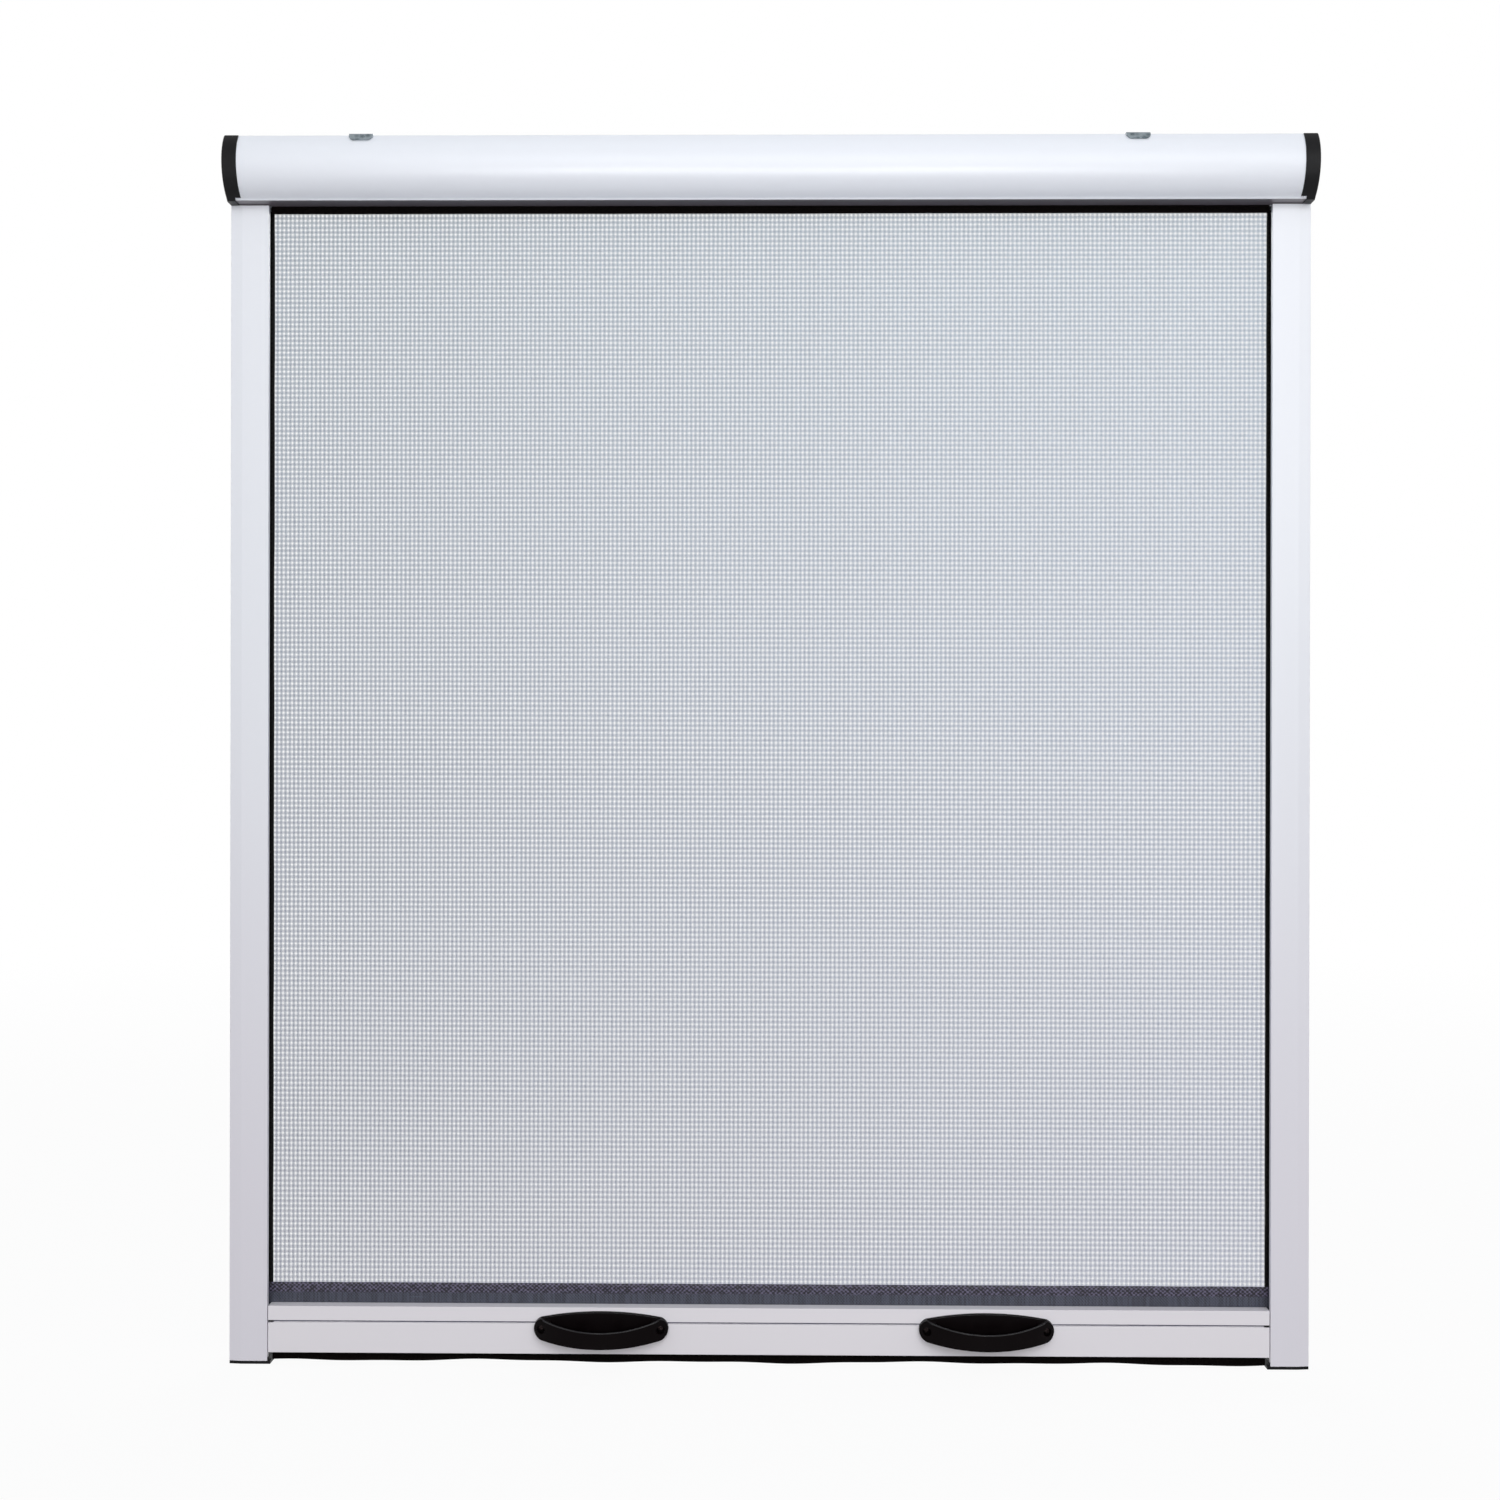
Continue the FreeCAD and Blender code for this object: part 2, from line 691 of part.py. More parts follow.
# Roller: tube with a spline groove, plugs at both ends and the turns that stay wound on it.
tube_rad = size("tube_rad")
tube_in = tube_rad - size("tube_wall")
tube_half = cas_half - size("cap_plug") - size("tube_gap")
cloth_half = tube_half - size("cloth_gap")
groove_at = tube_rad - 1.75
groove_rad = 1.5
mouth = 0.8
axis_z = cas_low + roll_z


roller_tube = new_body("roller_tube")
section = outline(roller_tube, "Wall", "YZ_Plane", [], rings=[
    (0.0, 0.0, tube_rad),
    (0.0, 0.0, tube_in),
])
pad(roller_tube, section, tube_half * 2, both=True)
section = outline(roller_tube, "Rib", "YZ_Plane", [[
    (-2.5, -tube_in - 0.1),
    (2.5, -tube_in - 0.1),
    (2.5, -groove_at + groove_rad + 1.0),
    (-2.5, -groove_at + groove_rad + 1.0),
]])
pad(roller_tube, section, tube_half * 2, both=True)
section = outline(roller_tube, "Groove", "YZ_Plane", [[
    (-mouth, -tube_rad - 1.0),
    (mouth, -tube_rad - 1.0),
    (mouth, -groove_at - 1.2688), Bow(groove_rad, -1, long_way=True),
    (-mouth, -groove_at - 1.2688),
]])
pocket(roller_tube, section, tube_half * 2 + 2.0, both=True)
place(roller_tube, y=roll_y, z=axis_z)

roller_spline = new_body("roller_spline")
section = outline(roller_spline, "Section", "YZ_Plane", [],
                  rings=[(0.0, -groove_at, groove_rad - 0.2)])
pad(roller_spline, section, cloth_half * 2, both=True)
place(roller_spline, y=roll_y, z=axis_z)

wound_cloth = new_body("wound_cloth")
section = outline(wound_cloth, "Turns", "YZ_Plane", [], rings=[
    (0.0, 0.0, size("wound_rad")),
    (0.0, 0.0, tube_rad + seat),
])
pad(wound_cloth, section, cloth_half * 2, both=True)
place(wound_cloth, y=roll_y, z=axis_z)


def roller_plug(name, side):
    """Bush at the end of the roller tube, with a flange and a notch for the groove rib."""
    body = new_body(name)
    back = side < 0
    core = outline(body, "Core", "YZ_Plane", [], rings=[
        (0.0, 0.0, tube_in - slip),
        (0.0, 0.0, size("pin_rad") + size("pin_gap")),
    ])
    pad(body, core, 12.0, back=not back)
    flange = outline(body, "Flange", "YZ_Plane", [], rings=[
        (0.0, 0.0, tube_rad),
        (0.0, 0.0, size("pin_rad") + size("pin_gap")),
    ])
    pad(body, flange, 1.1, back=back)
    notch = outline(body, "Notch", "YZ_Plane", [[
        (-2.8, -tube_rad),
        (2.8, -tube_rad),
        (2.8, -groove_at + groove_rad + 1.3),
        (-2.8, -groove_at + groove_rad + 1.3),
    ]])
    pocket(body, notch, 13.0, back=not (side > 0) if side > 0 else True)
    place(body, x=(tube_half + 0.1) * side, y=roll_y, z=axis_z)
    return body


roller_plug("roller_plug_left", -1)
roller_plug("roller_plug_right", 1)

# Fixed spring shaft at the left, with a squared end in the cap and a collar for the coil.
shaft_end = cas_half - size("cap_plug") - 0.3
spring_shaft = new_body("spring_shaft")
section = outline(spring_shaft, "Rod", "YZ_Plane", [], rings=[(0.0, 0.0, size("pin_rad"))])
pad(spring_shaft, section, size("shaft_len"))
square = 2.0
section = outline(spring_shaft, "Square", "YZ_Plane", [[
    (-square, -square),
    (square, -square),
    (square, square),
    (-square, square),
]])
pad(spring_shaft, section, size("cap_plug") + 3.5, back=True)
section = outline(spring_shaft, "Collar", "YZ_Plane", [], rings=[(0.0, 0.0, 4.7)],
                  lift=size("shaft_len") - size("shaft_collar"))
pad(spring_shaft, section, size("shaft_collar"))
place(spring_shaft, x=-shaft_end, y=roll_y, z=axis_z)

# Torsion spring: its turns lie against one another, so it is a sleeve with a flat-sided ridge per turn.
torsion_spring = new_body("torsion_spring")
turn_pitch = size("wire_rad") * 2
turn_in = size("spring_in")
turn_out = turn_in + size("wire_rad") * 0.7


def polygon(radius, sides=12):
    """Corners of a regular outline round the roller axis."""
    steps = [2 * math.pi * (k + 0.5) / sides for k in range(sides)]
    return [(radius * math.cos(step), radius * math.sin(step)) for step in steps]


section = outline(torsion_spring, "Sleeve", "YZ_Plane", [polygon(turn_in + 0.3), polygon(turn_in)])
pad(torsion_spring, section, turn_pitch * size("turns"))
section = outline(torsion_spring, "Turn", "YZ_Plane", [polygon(turn_out), polygon(turn_in)])
ridge = pad(torsion_spring, section, turn_pitch * 0.6)
coil = torsion_spring.newObject("PartDesign::LinearPattern", "Coil")
coil.Originals = [ridge]
coil.Direction = (section, ["N_Axis"])
bind(coil, "Length", turn_pitch * (size("turns") - 1))
bind(coil, "Occurrences", size("turns"))
torsion_spring.Tip = coil
spring_long = turn_pitch * size("turns")
place(torsion_spring, x=size("shaft_len") - shaft_end - spring_long - 6.0, y=roll_y, z=axis_z)

idle_pin = new_body("idle_pin")
section = outline(idle_pin, "Section", "YZ_Plane", [], rings=[(0.0, 0.0, size("pin_rad"))])
pad(idle_pin, section, 22.0, back=True)
place(idle_pin, x=cas_half + 3.5, y=roll_y, z=axis_z)

# Mesh cloth: a lattice of ridges between selvedges, hanging from the roller to the hem tape.
cloth_low = size("cloth_low")
cloth_thick = size("cloth_thick")
thread = size("thread_wide")
screen_cloth = new_body("screen_cloth")
cloth_high = axis_z - cloth_low
section = outline(screen_cloth, "Sheet", "XZ_Plane", [[
    (-cloth_half, 0.0),
    (cloth_half, 0.0),
    (cloth_half, cloth_high),
    (-cloth_half, cloth_high),
]], lift=-cloth_thick / 2)
pad(screen_cloth, section, cloth_thick)
selvedge = 12.0
step_x = (cloth_half * 2 - selvedge * 2 + thread) / size("cells_wide")
step_z = (cloth_high - selvedge * 2 + thread) / size("cells_high")
cell = outline(screen_cloth, "Cell", "XZ_Plane", [[
    (-cloth_half + selvedge, selvedge),
    (-cloth_half + selvedge + step_x - thread, selvedge),
    (-cloth_half + selvedge + step_x - thread, selvedge + step_z - thread),
    (-cloth_half + selvedge, selvedge + step_z - thread),
]], lift=-1.0)
hole = pocket(screen_cloth, cell, 2.0, back=True)
grid = screen_cloth.newObject("PartDesign::MultiTransform", "Weave")
across = screen_cloth.newObject("PartDesign::LinearPattern", "Across")
across.Direction = (cell, ["H_Axis"])
bind(across, "Length", step_x * (size("cells_wide") - 1))
bind(across, "Occurrences", size("cells_wide"))
upward = screen_cloth.newObject("PartDesign::LinearPattern", "Upward")
upward.Direction = (cell, ["V_Axis"])
bind(upward, "Length", step_z * (size("cells_high") - 1))
bind(upward, "Occurrences", size("cells_high"))
grid.Originals = [hole]
grid.Transformations = [across, upward]
screen_cloth.Tip = grid
place(screen_cloth, y=size("cloth_y"), z=cloth_low)

# Pull bar and what it carries.
bar_low = size("bar_low")
bar_high = size("bar_high")
bar_front = size("bar_front")
bar_back = size("bar_back")
bar_half = guide_x - size("bar_gap")
tape_half = cloth_half - size("tape_gap")
bar_wall = size("bar_wall")
step_low = size("step_low")
step_high = size("step_high")
step_deep = size("step_deep")
hem_z = size("hem_z")
hem_rad = size("hem_rad")
bar_mid = (bar_front + bar_back) / 2
hem_gap = 1.3
hem_y = bar_back - 2.8
groove_in = bar_back - 0.9
brush_top = 1.1 + base_thick + seat * 2

hem_tape = new_body("hem_tape")
section = outline(hem_tape, "Sheet", "XZ_Plane", [[
    (-tape_half, size("tape_low")),
    (tape_half, size("tape_low")),
    (tape_half, cloth_low),
    (-tape_half, cloth_low),
]], lift=-size("tape_thick") / 2)
pad(hem_tape, section, size("tape_thick"))
place(hem_tape, y=size("cloth_y"))

pull_bar = new_body("pull_bar")
section = outline(pull_bar, "Section", "YZ_Plane", [[
    (bar_front, 0.0),
    (bar_front, step_low),
    (bar_front + step_deep, step_low),
    (bar_front + step_deep, step_low + step_high),
    (bar_front, step_low + step_high),
    (bar_front, bar_high),
    (bar_back, bar_high),
    (bar_back, hem_z + hem_gap),
    (groove_in, hem_z + hem_gap), Bow(hem_rad, -1, long_way=True),
    (groove_in, hem_z - hem_gap),
    (bar_back, hem_z - hem_gap),
    (bar_back, 0.0),
    (bar_mid + pile_wide / 2 + seat, 0.0),
    (bar_mid + pile_wide / 2 + seat, 1.1),
    (bar_mid + base_wide / 2 + seat, 1.1),
    (bar_mid + base_wide / 2 + seat, brush_top),
    (bar_mid - base_wide / 2 - seat, brush_top),
    (bar_mid - base_wide / 2 - seat, 1.1),
    (bar_mid - pile_wide / 2 - seat, 1.1),
    (bar_mid - pile_wide / 2 - seat, 0.0),
], [
    (bar_front + step_deep + bar_wall, hem_z + hem_rad + 2.4),
    (bar_back - bar_wall, hem_z + hem_rad + 2.4),
    (bar_back - bar_wall, bar_high - bar_wall),
    (bar_front + step_deep + bar_wall, bar_high - bar_wall),
], [
    (bar_front + bar_wall, brush_top + 1.3),
    (hem_y - hem_rad - 1.2, brush_top + 1.3),
    (hem_y - hem_rad - 1.2, hem_z + hem_rad + 1.2),
    (bar_front + bar_wall, hem_z + hem_rad + 1.2),
]])
pad(pull_bar, section, bar_half * 2, both=True)
grip_z = size("grip_z")
grip_screw_x = size("grip_screw_x")
screw_rad = 1.5
bores = []
grip_left = width * size("grip_left")
grip_right = width * size("grip_right")
for at in (grip_left, grip_right):
    for sign in (-1, 1):
        bores.append((at + grip_screw_x * sign, grip_z - bar_low, screw_rad + 0.15))
holes = outline(pull_bar, "Holes", "XZ_Plane", [], rings=bores, lift=-bar_front + 1.0)
pocket(pull_bar, holes, step_deep + bar_wall + 2.0)
notch_in = bar_half - size("notch_long")
notches = outline(pull_bar, "Notches", "XZ_Plane", [[
    (notch_in * hand, step_low - 0.4),
    ((bar_half + 1.0) * hand, step_low - 0.4),
    ((bar_half + 1.0) * hand, step_low + step_high),
    (notch_in * hand, step_low + step_high),
] for hand in (-1, 1)], lift=-bar_front + 1.0)
pocket(pull_bar, notches, step_deep + bar_wall + 1.5)
place(pull_bar, z=bar_low)

hem_spline = new_body("hem_spline")
section = outline(hem_spline, "Section", "YZ_Plane", [],
                  rings=[(0.0, 0.0, size("spline_rad"))])
pad(hem_spline, section, (bar_half - 3.0) * 2, both=True)
place(hem_spline, y=hem_y, z=bar_low + hem_z)

bar_brush = new_body("bar_brush")
section = outline(bar_brush, "Section", "YZ_Plane", [[
    (-pile_wide / 2, -5.2),
    (pile_wide / 2, -5.2),
    (pile_wide / 2, 1.2),
    (base_wide / 2, 1.2),
    (base_wide / 2, 1.2 + base_thick),
    (-base_wide / 2, 1.2 + base_thick),
    (-base_wide / 2, 1.2),
    (-pile_wide / 2, 1.2),
]])
pad(bar_brush, section, (bar_half - 2.2) * 2, both=True)
place(bar_brush, y=bar_mid, z=bar_low)


def bar_end(name, side):
    """Bar end: plug in the bar's chamber and the tongue that slides in the guide."""
    body = new_body(name)
    back = side < 0
    plug = outline(body, "Plug", "YZ_Plane", [[
        (bar_front + step_deep + bar_wall + slip, hem_z + hem_rad + 2.4 + slip),
        (bar_back - bar_wall - slip, hem_z + hem_rad + 2.4 + slip),
        (bar_back - bar_wall - slip, bar_high - bar_wall - slip),
        (bar_front + step_deep + bar_wall + slip, bar_high - bar_wall - slip),
    ]])
    pad(body, plug, 14.0, back=not back)
    root = outline(body, "Root", "YZ_Plane", [[
        (6.3, 4.0),
        (bar_back, 4.0),
        (bar_back, bar_high - 1.6),
        (6.3, bar_high - 1.6),
    ]], lift=0.1 * side)
    pad(body, root, 1.4, back=back)
    link = outline(body, "Link", "YZ_Plane", [[
        (bar_front + step_deep + bar_wall + 1.2, hem_z + hem_rad + 3.4),
        (bar_back - bar_wall - 1.0, hem_z + hem_rad + 3.4),
        (bar_back - bar_wall - 1.0, bar_high - bar_wall - 1.0),
        (bar_front + step_deep + bar_wall + 1.2, bar_high - bar_wall - 1.0),
    ]], lift=-1.0 * side)
    pad(body, link, 2.0, back=back)
    tongue = outline(body, "Tongue", "YZ_Plane", [[
        (10.2, 4.0),
        (bar_back, 4.0),
        (bar_back, bar_high - 1.6),
        (10.2, bar_high - 1.6),
    ]], lift=0.1 * side)
    pad(body, tongue, size("tongue_reach"), back=back)

    def tip_corners(edge):
        box = edge.BoundBox
        tip = (size("tongue_reach").number + 0.1) * side
        at_tip = box.XLength < 0.01 and abs(box.XMin - tip) < 0.01
        return at_tip and box.ZLength < 0.01

    soften(body, 5.0, tip_corners)
    place(body, x=bar_half * side, z=bar_low)
    return body


bar_end("bar_end_left", -1)
bar_end("bar_end_right", 1)

grip_end_x = size("grip_end_x")
grip_end_z = size("grip_end_z")
grip_deep = size("grip_deep")
grip_wall = size("grip_wall")
plan_rad = size("grip_plan_rad")
cup_half = size("cup_half")


def cup_mouth(edge):
    """The long edge where the cup meets the sagging rim of the front band."""
    box = edge.BoundBox
    wall = grip_wall.number
    return box.XLength > cup_half.number * 1.5 and box.YLength > wall and box.ZLength > wall


def handle(name, at):
    """Moulded finger pull: bowed front band, sagging rim, cup open at the top, screw ends."""
    body = new_body(name)
    face = outline(body, "Face", "XZ_Plane", [[
        (-grip_end_x, grip_end_z), Bow(size("grip_top_rad"), 1),
        (grip_end_x, grip_end_z), Bow(size("grip_end_rad"), 1),
        (grip_end_x, -grip_end_z), Bow(size("grip_low_rad"), 1),
        (-grip_end_x, -grip_end_z), Bow(size("grip_end_rad"), 1),
    ]])
    pad(body, face, grip_deep)
    plan = outline(body, "Plan", "XY_Plane", [[
        (-49.9, -3.4), Bow(plan_rad, -1),
        (49.9, -3.4),
        (60.0, -3.4),
        (60.0, -grip_deep - 10.0),
        (-60.0, -grip_deep - 10.0),
        (-60.0, -3.4),
    ]])
    pocket(body, plan, 60.0, both=True)
    rim = outline(body, "Rim", "XZ_Plane", [[
        (-size("grip_rim_x"), size("grip_rim_z")), Bow(size("grip_rim_rad"), -1),
        (size("grip_rim_x"), size("grip_rim_z")),
        (size("grip_rim_x"), size("grip_rim_z") + 10.0),
        (-size("grip_rim_x"), size("grip_rim_z") + 10.0),
    ]], lift=grip_wall)
    pocket(body, rim, grip_deep, back=True)
    cup = outline(body, "Cup", "XY_Plane", [[
        (-cup_half, -grip_wall),
        (cup_half, -grip_wall),
        (cup_half, -grip_wall - 5.5), Bow(plan_rad - grip_wall, 1),
        (-cup_half, -grip_wall - 5.5),
    ]], lift=14.0)
    pocket(body, cup, 14.0 + grip_end_z - grip_wall)
    recess = outline(body, "Recess", "XZ_Plane", [], lift=1.8, rings=[
        (-grip_screw_x, 0.0, 3.1),
        (grip_screw_x, 0.0, 3.1),
    ])
    pocket(body, recess, 12.0, back=True)
    bore = outline(body, "Bore", "XZ_Plane", [], lift=-1.0, rings=[
        (-grip_screw_x, 0.0, screw_rad + 0.15),
        (grip_screw_x, 0.0, screw_rad + 0.15),
    ])
    pocket(body, bore, 6.0, back=True)
    soften(body, size("grip_ease"), cup_mouth, kind="Chamfer")
    place(body, x=at, y=bar_front, z=grip_z)
    return body


handle("pull_handle_left", grip_left)
handle("pull_handle_right", grip_right)

# The four identical handle screws are one node of separate solids.
screws = []
for tag, at in (("A", grip_left - grip_screw_x), ("B", grip_left + grip_screw_x),
                ("C", grip_right - grip_screw_x), ("D", grip_right + grip_screw_x)):
    shank = doc.addObject("Part::Prism", "Shank" + tag)
    shank.Polygon = 8
    bind(shank, "Circumradius", screw_rad)
    bind(shank, "Height", 7.0)
    head = doc.addObject("Part::Cone", "Head" + tag)
    bind(head, "Radius1", 2.8)
    bind(head, "Radius2", 2.1)
    bind(head, "Height", 1.5)
    bind(head, "Placement.Base.z", 7.0)
    screw = doc.addObject("Part::Fuse", "Screw" + tag)
    screw.Base = shank
    screw.Tool = head
    screw.Placement = FreeCAD.Placement(vec(0, 0, 0), FreeCAD.Rotation(vec(1, 0, 0), 90))
    place(screw, x=at, y=bar_front - 1.9 + 7.0, z=grip_z)
    screws.append(screw)
handle_screws = doc.addObject("Part::Compound", "handle_screws")
handle_screws.Label = "handle_screws"
handle_screws.Links = screws
NODES.append(("handle_screws", handle_screws))

doc.recompute()

# Every piece has to be sound before anything is written.
for item in doc.Objects:
    if "Invalid" in item.State or "Error" in item.State:
        raise RuntimeError("%s is %s" % (item.Name, item.State))
for name, item in NODES:
    if item.Shape.isNull() or not item.Shape.isValid():
        raise RuntimeError(name + " has no valid shape")
for name, item in NODES:
    item.Shape.exportStep("parts/%s.step" % name)
    box = item.Shape.BoundBox
    print("%-24s %3d  x %8.2f %8.2f  y %7.2f %7.2f  z %7.2f %7.2f  %9.1f" % (
        name, len(item.Shape.Solids), box.XMin, box.XMax, box.YMin, box.YMax,
        box.ZMin, box.ZMax, item.Shape.Volume))
print(len(NODES), "nodes")
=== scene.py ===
import math
import random

import bpy
from mathutils import Matrix, Vector

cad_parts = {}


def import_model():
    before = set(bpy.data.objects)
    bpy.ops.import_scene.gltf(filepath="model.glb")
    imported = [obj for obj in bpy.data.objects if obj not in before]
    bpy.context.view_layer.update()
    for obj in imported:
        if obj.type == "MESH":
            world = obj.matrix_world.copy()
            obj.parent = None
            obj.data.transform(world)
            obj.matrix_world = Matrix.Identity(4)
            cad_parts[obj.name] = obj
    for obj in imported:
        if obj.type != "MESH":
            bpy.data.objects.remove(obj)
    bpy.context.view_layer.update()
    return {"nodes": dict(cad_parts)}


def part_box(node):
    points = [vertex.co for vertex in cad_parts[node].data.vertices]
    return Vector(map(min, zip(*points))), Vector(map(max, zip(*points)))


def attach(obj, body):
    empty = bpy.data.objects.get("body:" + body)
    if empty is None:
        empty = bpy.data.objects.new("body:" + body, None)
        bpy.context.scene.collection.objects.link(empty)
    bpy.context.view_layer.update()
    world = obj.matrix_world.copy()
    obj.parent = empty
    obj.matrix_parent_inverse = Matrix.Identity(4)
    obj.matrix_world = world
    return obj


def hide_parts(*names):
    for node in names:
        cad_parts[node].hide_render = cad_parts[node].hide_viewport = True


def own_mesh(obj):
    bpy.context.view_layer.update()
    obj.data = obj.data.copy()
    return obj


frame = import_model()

# Roll-up window screen: cassette with a spring roller, two side guides, mesh cloth and a pull bar.
# Metres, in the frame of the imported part: X across, Y into the wall, Z up from the sill.

NODES = frame["nodes"]
MM = 0.001
X = Vector((1, 0, 0))
Y = Vector((0, 1, 0))
Z = Vector((0, 0, 1))
TURN = 2 * math.pi

GRID_X = 3.27 * MM
GRID_Z = 3.65 * MM
ROLLER_Y = 0.5 * MM
ROLLER_Z = 886.0 * MM
SELVEDGE_X = 370.0 * MM
BAND_FOOT_Z = 50.5 * MM
TAPE_LAP_X = -128.5 * MM
GRIP_CENTRE = 11.85 * MM

dice = random.Random(7)


def linear(red, green, blue):
    """A colour written in screen bytes, as the linear values that a shader takes."""
    def one(c):
        c = c / 255.0
        return c / 12.92 if c <= 0.04045 else ((c + 0.055) / 1.055) ** 2.4
    return (one(red), one(green), one(blue), 1.0)


def colour_sockets(sockets):
    """The colour sockets of a Mix node, which has one set of sockets for each kind of value."""
    return [socket for socket in sockets if socket.type == "RGBA"]


# Materials
class Finish:
    """A material built from one Principled shader and the textures that feed it."""

    def __init__(self, name, colour, roughness, metallic=0.0, specular=0.5):
        self.mat = bpy.data.materials.new(name)
        self.mat.use_nodes = True
        self.tree = self.mat.node_tree
        self.shader = self.tree.nodes["Principled BSDF"]
        self.shader.inputs["Base Color"].default_value = colour
        self.shader.inputs["Roughness"].default_value = roughness
        self.shader.inputs["Metallic"].default_value = metallic
        self.shader.inputs["Specular IOR Level"].default_value = specular
        self.place = self.tree.nodes.new("ShaderNodeTexCoord").outputs["Object"]
        self.normal = None

    def link(self, out, into):
        self.tree.links.new(out, into)

    def stretch(self, scale):
        """Object coordinates in cells a metre, by axis or with one number for all three."""
        node = self.tree.nodes.new("ShaderNodeMapping")
        node.inputs["Scale"].default_value = scale if hasattr(scale, "__len__") else (scale, scale, scale)
        self.link(self.place, node.inputs["Vector"])
        return node.outputs["Vector"]

    def noise(self, scale, detail, rough=0.5):
        node = self.tree.nodes.new("ShaderNodeTexNoise")
        node.inputs["Scale"].default_value = 1.0
        node.inputs["Detail"].default_value = detail
        node.inputs["Roughness"].default_value = rough
        self.link(self.stretch(scale), node.inputs["Vector"])
        return node.outputs["Fac"]

    def cells(self, scale):
        node = self.tree.nodes.new("ShaderNodeTexVoronoi")
        node.inputs["Scale"].default_value = 1.0
        self.link(self.stretch(scale), node.inputs["Vector"])
        return node.outputs["Distance"]

    def axis(self, name):
        node = self.tree.nodes.new("ShaderNodeSeparateXYZ")
        self.link(self.place, node.inputs["Vector"])
        return node.outputs[name]

    def calc(self, kind, first, second=None):
        """One step of arithmetic on sockets or numbers."""
        node = self.tree.nodes.new("ShaderNodeMath")
        node.operation = kind
        for socket, value in zip(node.inputs, (first, second)):
            if value is None:
                continue
            if isinstance(value, (int, float)):
                socket.default_value = value
            else:
                self.link(value, socket)
        return node.outputs["Value"]

    def wave(self, value, pitch):
        """A sine that repeats each pitch of the value."""
        return self.calc("SINE", self.calc("MULTIPLY", value, TURN / pitch))

    def remap(self, value, low, high, to_low=0.0, to_high=1.0, smooth=True):
        node = self.tree.nodes.new("ShaderNodeMapRange")
        node.interpolation_type = "SMOOTHSTEP" if smooth else "LINEAR"
        self.link(value, node.inputs["Value"])
        node.inputs["From Min"].default_value = low
        node.inputs["From Max"].default_value = high
        node.inputs["To Min"].default_value = to_low
        node.inputs["To Max"].default_value = to_high
        return node.outputs["Result"]

    def blend(self, share, first, second):
        node = self.tree.nodes.new("ShaderNodeMix")
        node.data_type = "RGBA"
        self.link(share, node.inputs["Factor"])
        for socket, value in zip(colour_sockets(node.inputs), (first, second)):
            if hasattr(value, "__len__"):
                socket.default_value = value
            else:
                self.link(value, socket)
        return colour_sockets(node.outputs)[0]

    def colour(self, out):
        self.link(out, self.shader.inputs["Base Color"])

    def rough(self, out, low, high):
        """Roughness from low to high, over the middle of a noise."""
        self.link(self.remap(out, 0.3, 0.7, low, high), self.shader.inputs["Roughness"])

    def round_edges(self, radius):
        node = self.tree.nodes.new("ShaderNodeBevel")
        node.samples = 6
        node.inputs["Radius"].default_value = radius
        self.normal = node.outputs["Normal"]
        self.link(self.normal, self.shader.inputs["Normal"])

    def bump(self, height, depth, strength):
        node = self.tree.nodes.new("ShaderNodeBump")
        node.inputs["Strength"].default_value = strength
        node.inputs["Distance"].default_value = depth
        self.link(height, node.inputs["Height"])
        if self.normal is not None:
            self.link(self.normal, node.inputs["Normal"])
        self.normal = node.outputs["Normal"]
        self.link(self.normal, self.shader.inputs["Normal"])


def white_coat(name, tone, grain, foot=None, painted_shade_below=None):
    """Powder coat on an extrusion: faint orange peel, and soft drawing lines along the length.

    foot is the tone near the sill: a pinker tone there, which is painted light. Under the height
    painted_shade_below the coat is painted a darker grey, which is painted shade on the underside. The
    roughness stays at 0.28 or more, because below that the denoised render has sharp round marks in it.
    """
    finish = Finish(name, tone, 0.28)
    height = finish.axis("Z")
    dusty = tuple(c * 0.994 for c in tone[:3]) + (1.0,)
    shade = finish.blend(finish.noise(3.0, 1.0), tone, dusty)
    # Painted light: towards the sill the coat is painted a pinker tone, for the colour of the light low down.
    if foot:
        shade = finish.blend(finish.remap(height, 0.05, 0.60), foot, shade)
    # Painted shade: below this height the coat is painted a darker grey, for the shade on the cassette's
    # underside.
    if painted_shade_below:
        above_painted_shade = finish.remap(height, painted_shade_below, painted_shade_below + 0.04 * MM)
        shade = finish.blend(above_painted_shade, linear(128, 122, 128), shade)
    finish.colour(shade)
    finish.rough(finish.noise(6.0, 1.0), 0.28, 0.30)
    finish.round_edges(0.5 * MM)
    finish.bump(finish.noise(grain, 1.0), 0.02 * MM, 0.10)
    finish.bump(finish.noise(900.0, 1.0), 0.02 * MM, 0.08)
    return finish.mat


def black_plastic(name, colour, roughness=0.36, shine=0.14, grain=1.0):
    """Moulded plastic with a fine spark-eroded grain and a little handling polish."""
    finish = Finish(name, colour, roughness, specular=shine)
    finish.rough(finish.noise(70.0, 4.0), roughness - 0.06, roughness + 0.10)
    worn = finish.remap(finish.noise(130.0, 4.0, 0.65), 0.55, 0.8)
    light = tuple(min(1.0, c * 1.9 + 0.001) for c in colour[:3]) + (1.0,)
    finish.colour(finish.blend(worn, colour, light))
    finish.round_edges(0.8 * MM)
    finish.bump(finish.cells(2600.0), 0.04 * MM, 0.28 * grain)
    finish.bump(finish.noise(350.0, 3.0), 0.06 * MM, 0.20 * grain)
    return finish.mat


def pile_black(name):
    """Woven pile: dull black fibre, a little brown in places."""
    finish = Finish(name, linear(10, 9, 9), 0.9, specular=0.02)
    brown = finish.remap(finish.noise(900.0, 3.0), 0.35, 0.75)
    finish.colour(finish.blend(brown, linear(5, 4, 4), linear(24, 20, 19)))
    finish.bump(finish.noise(3000.0, 2.0), 0.1 * MM, 0.5)
    return finish.mat


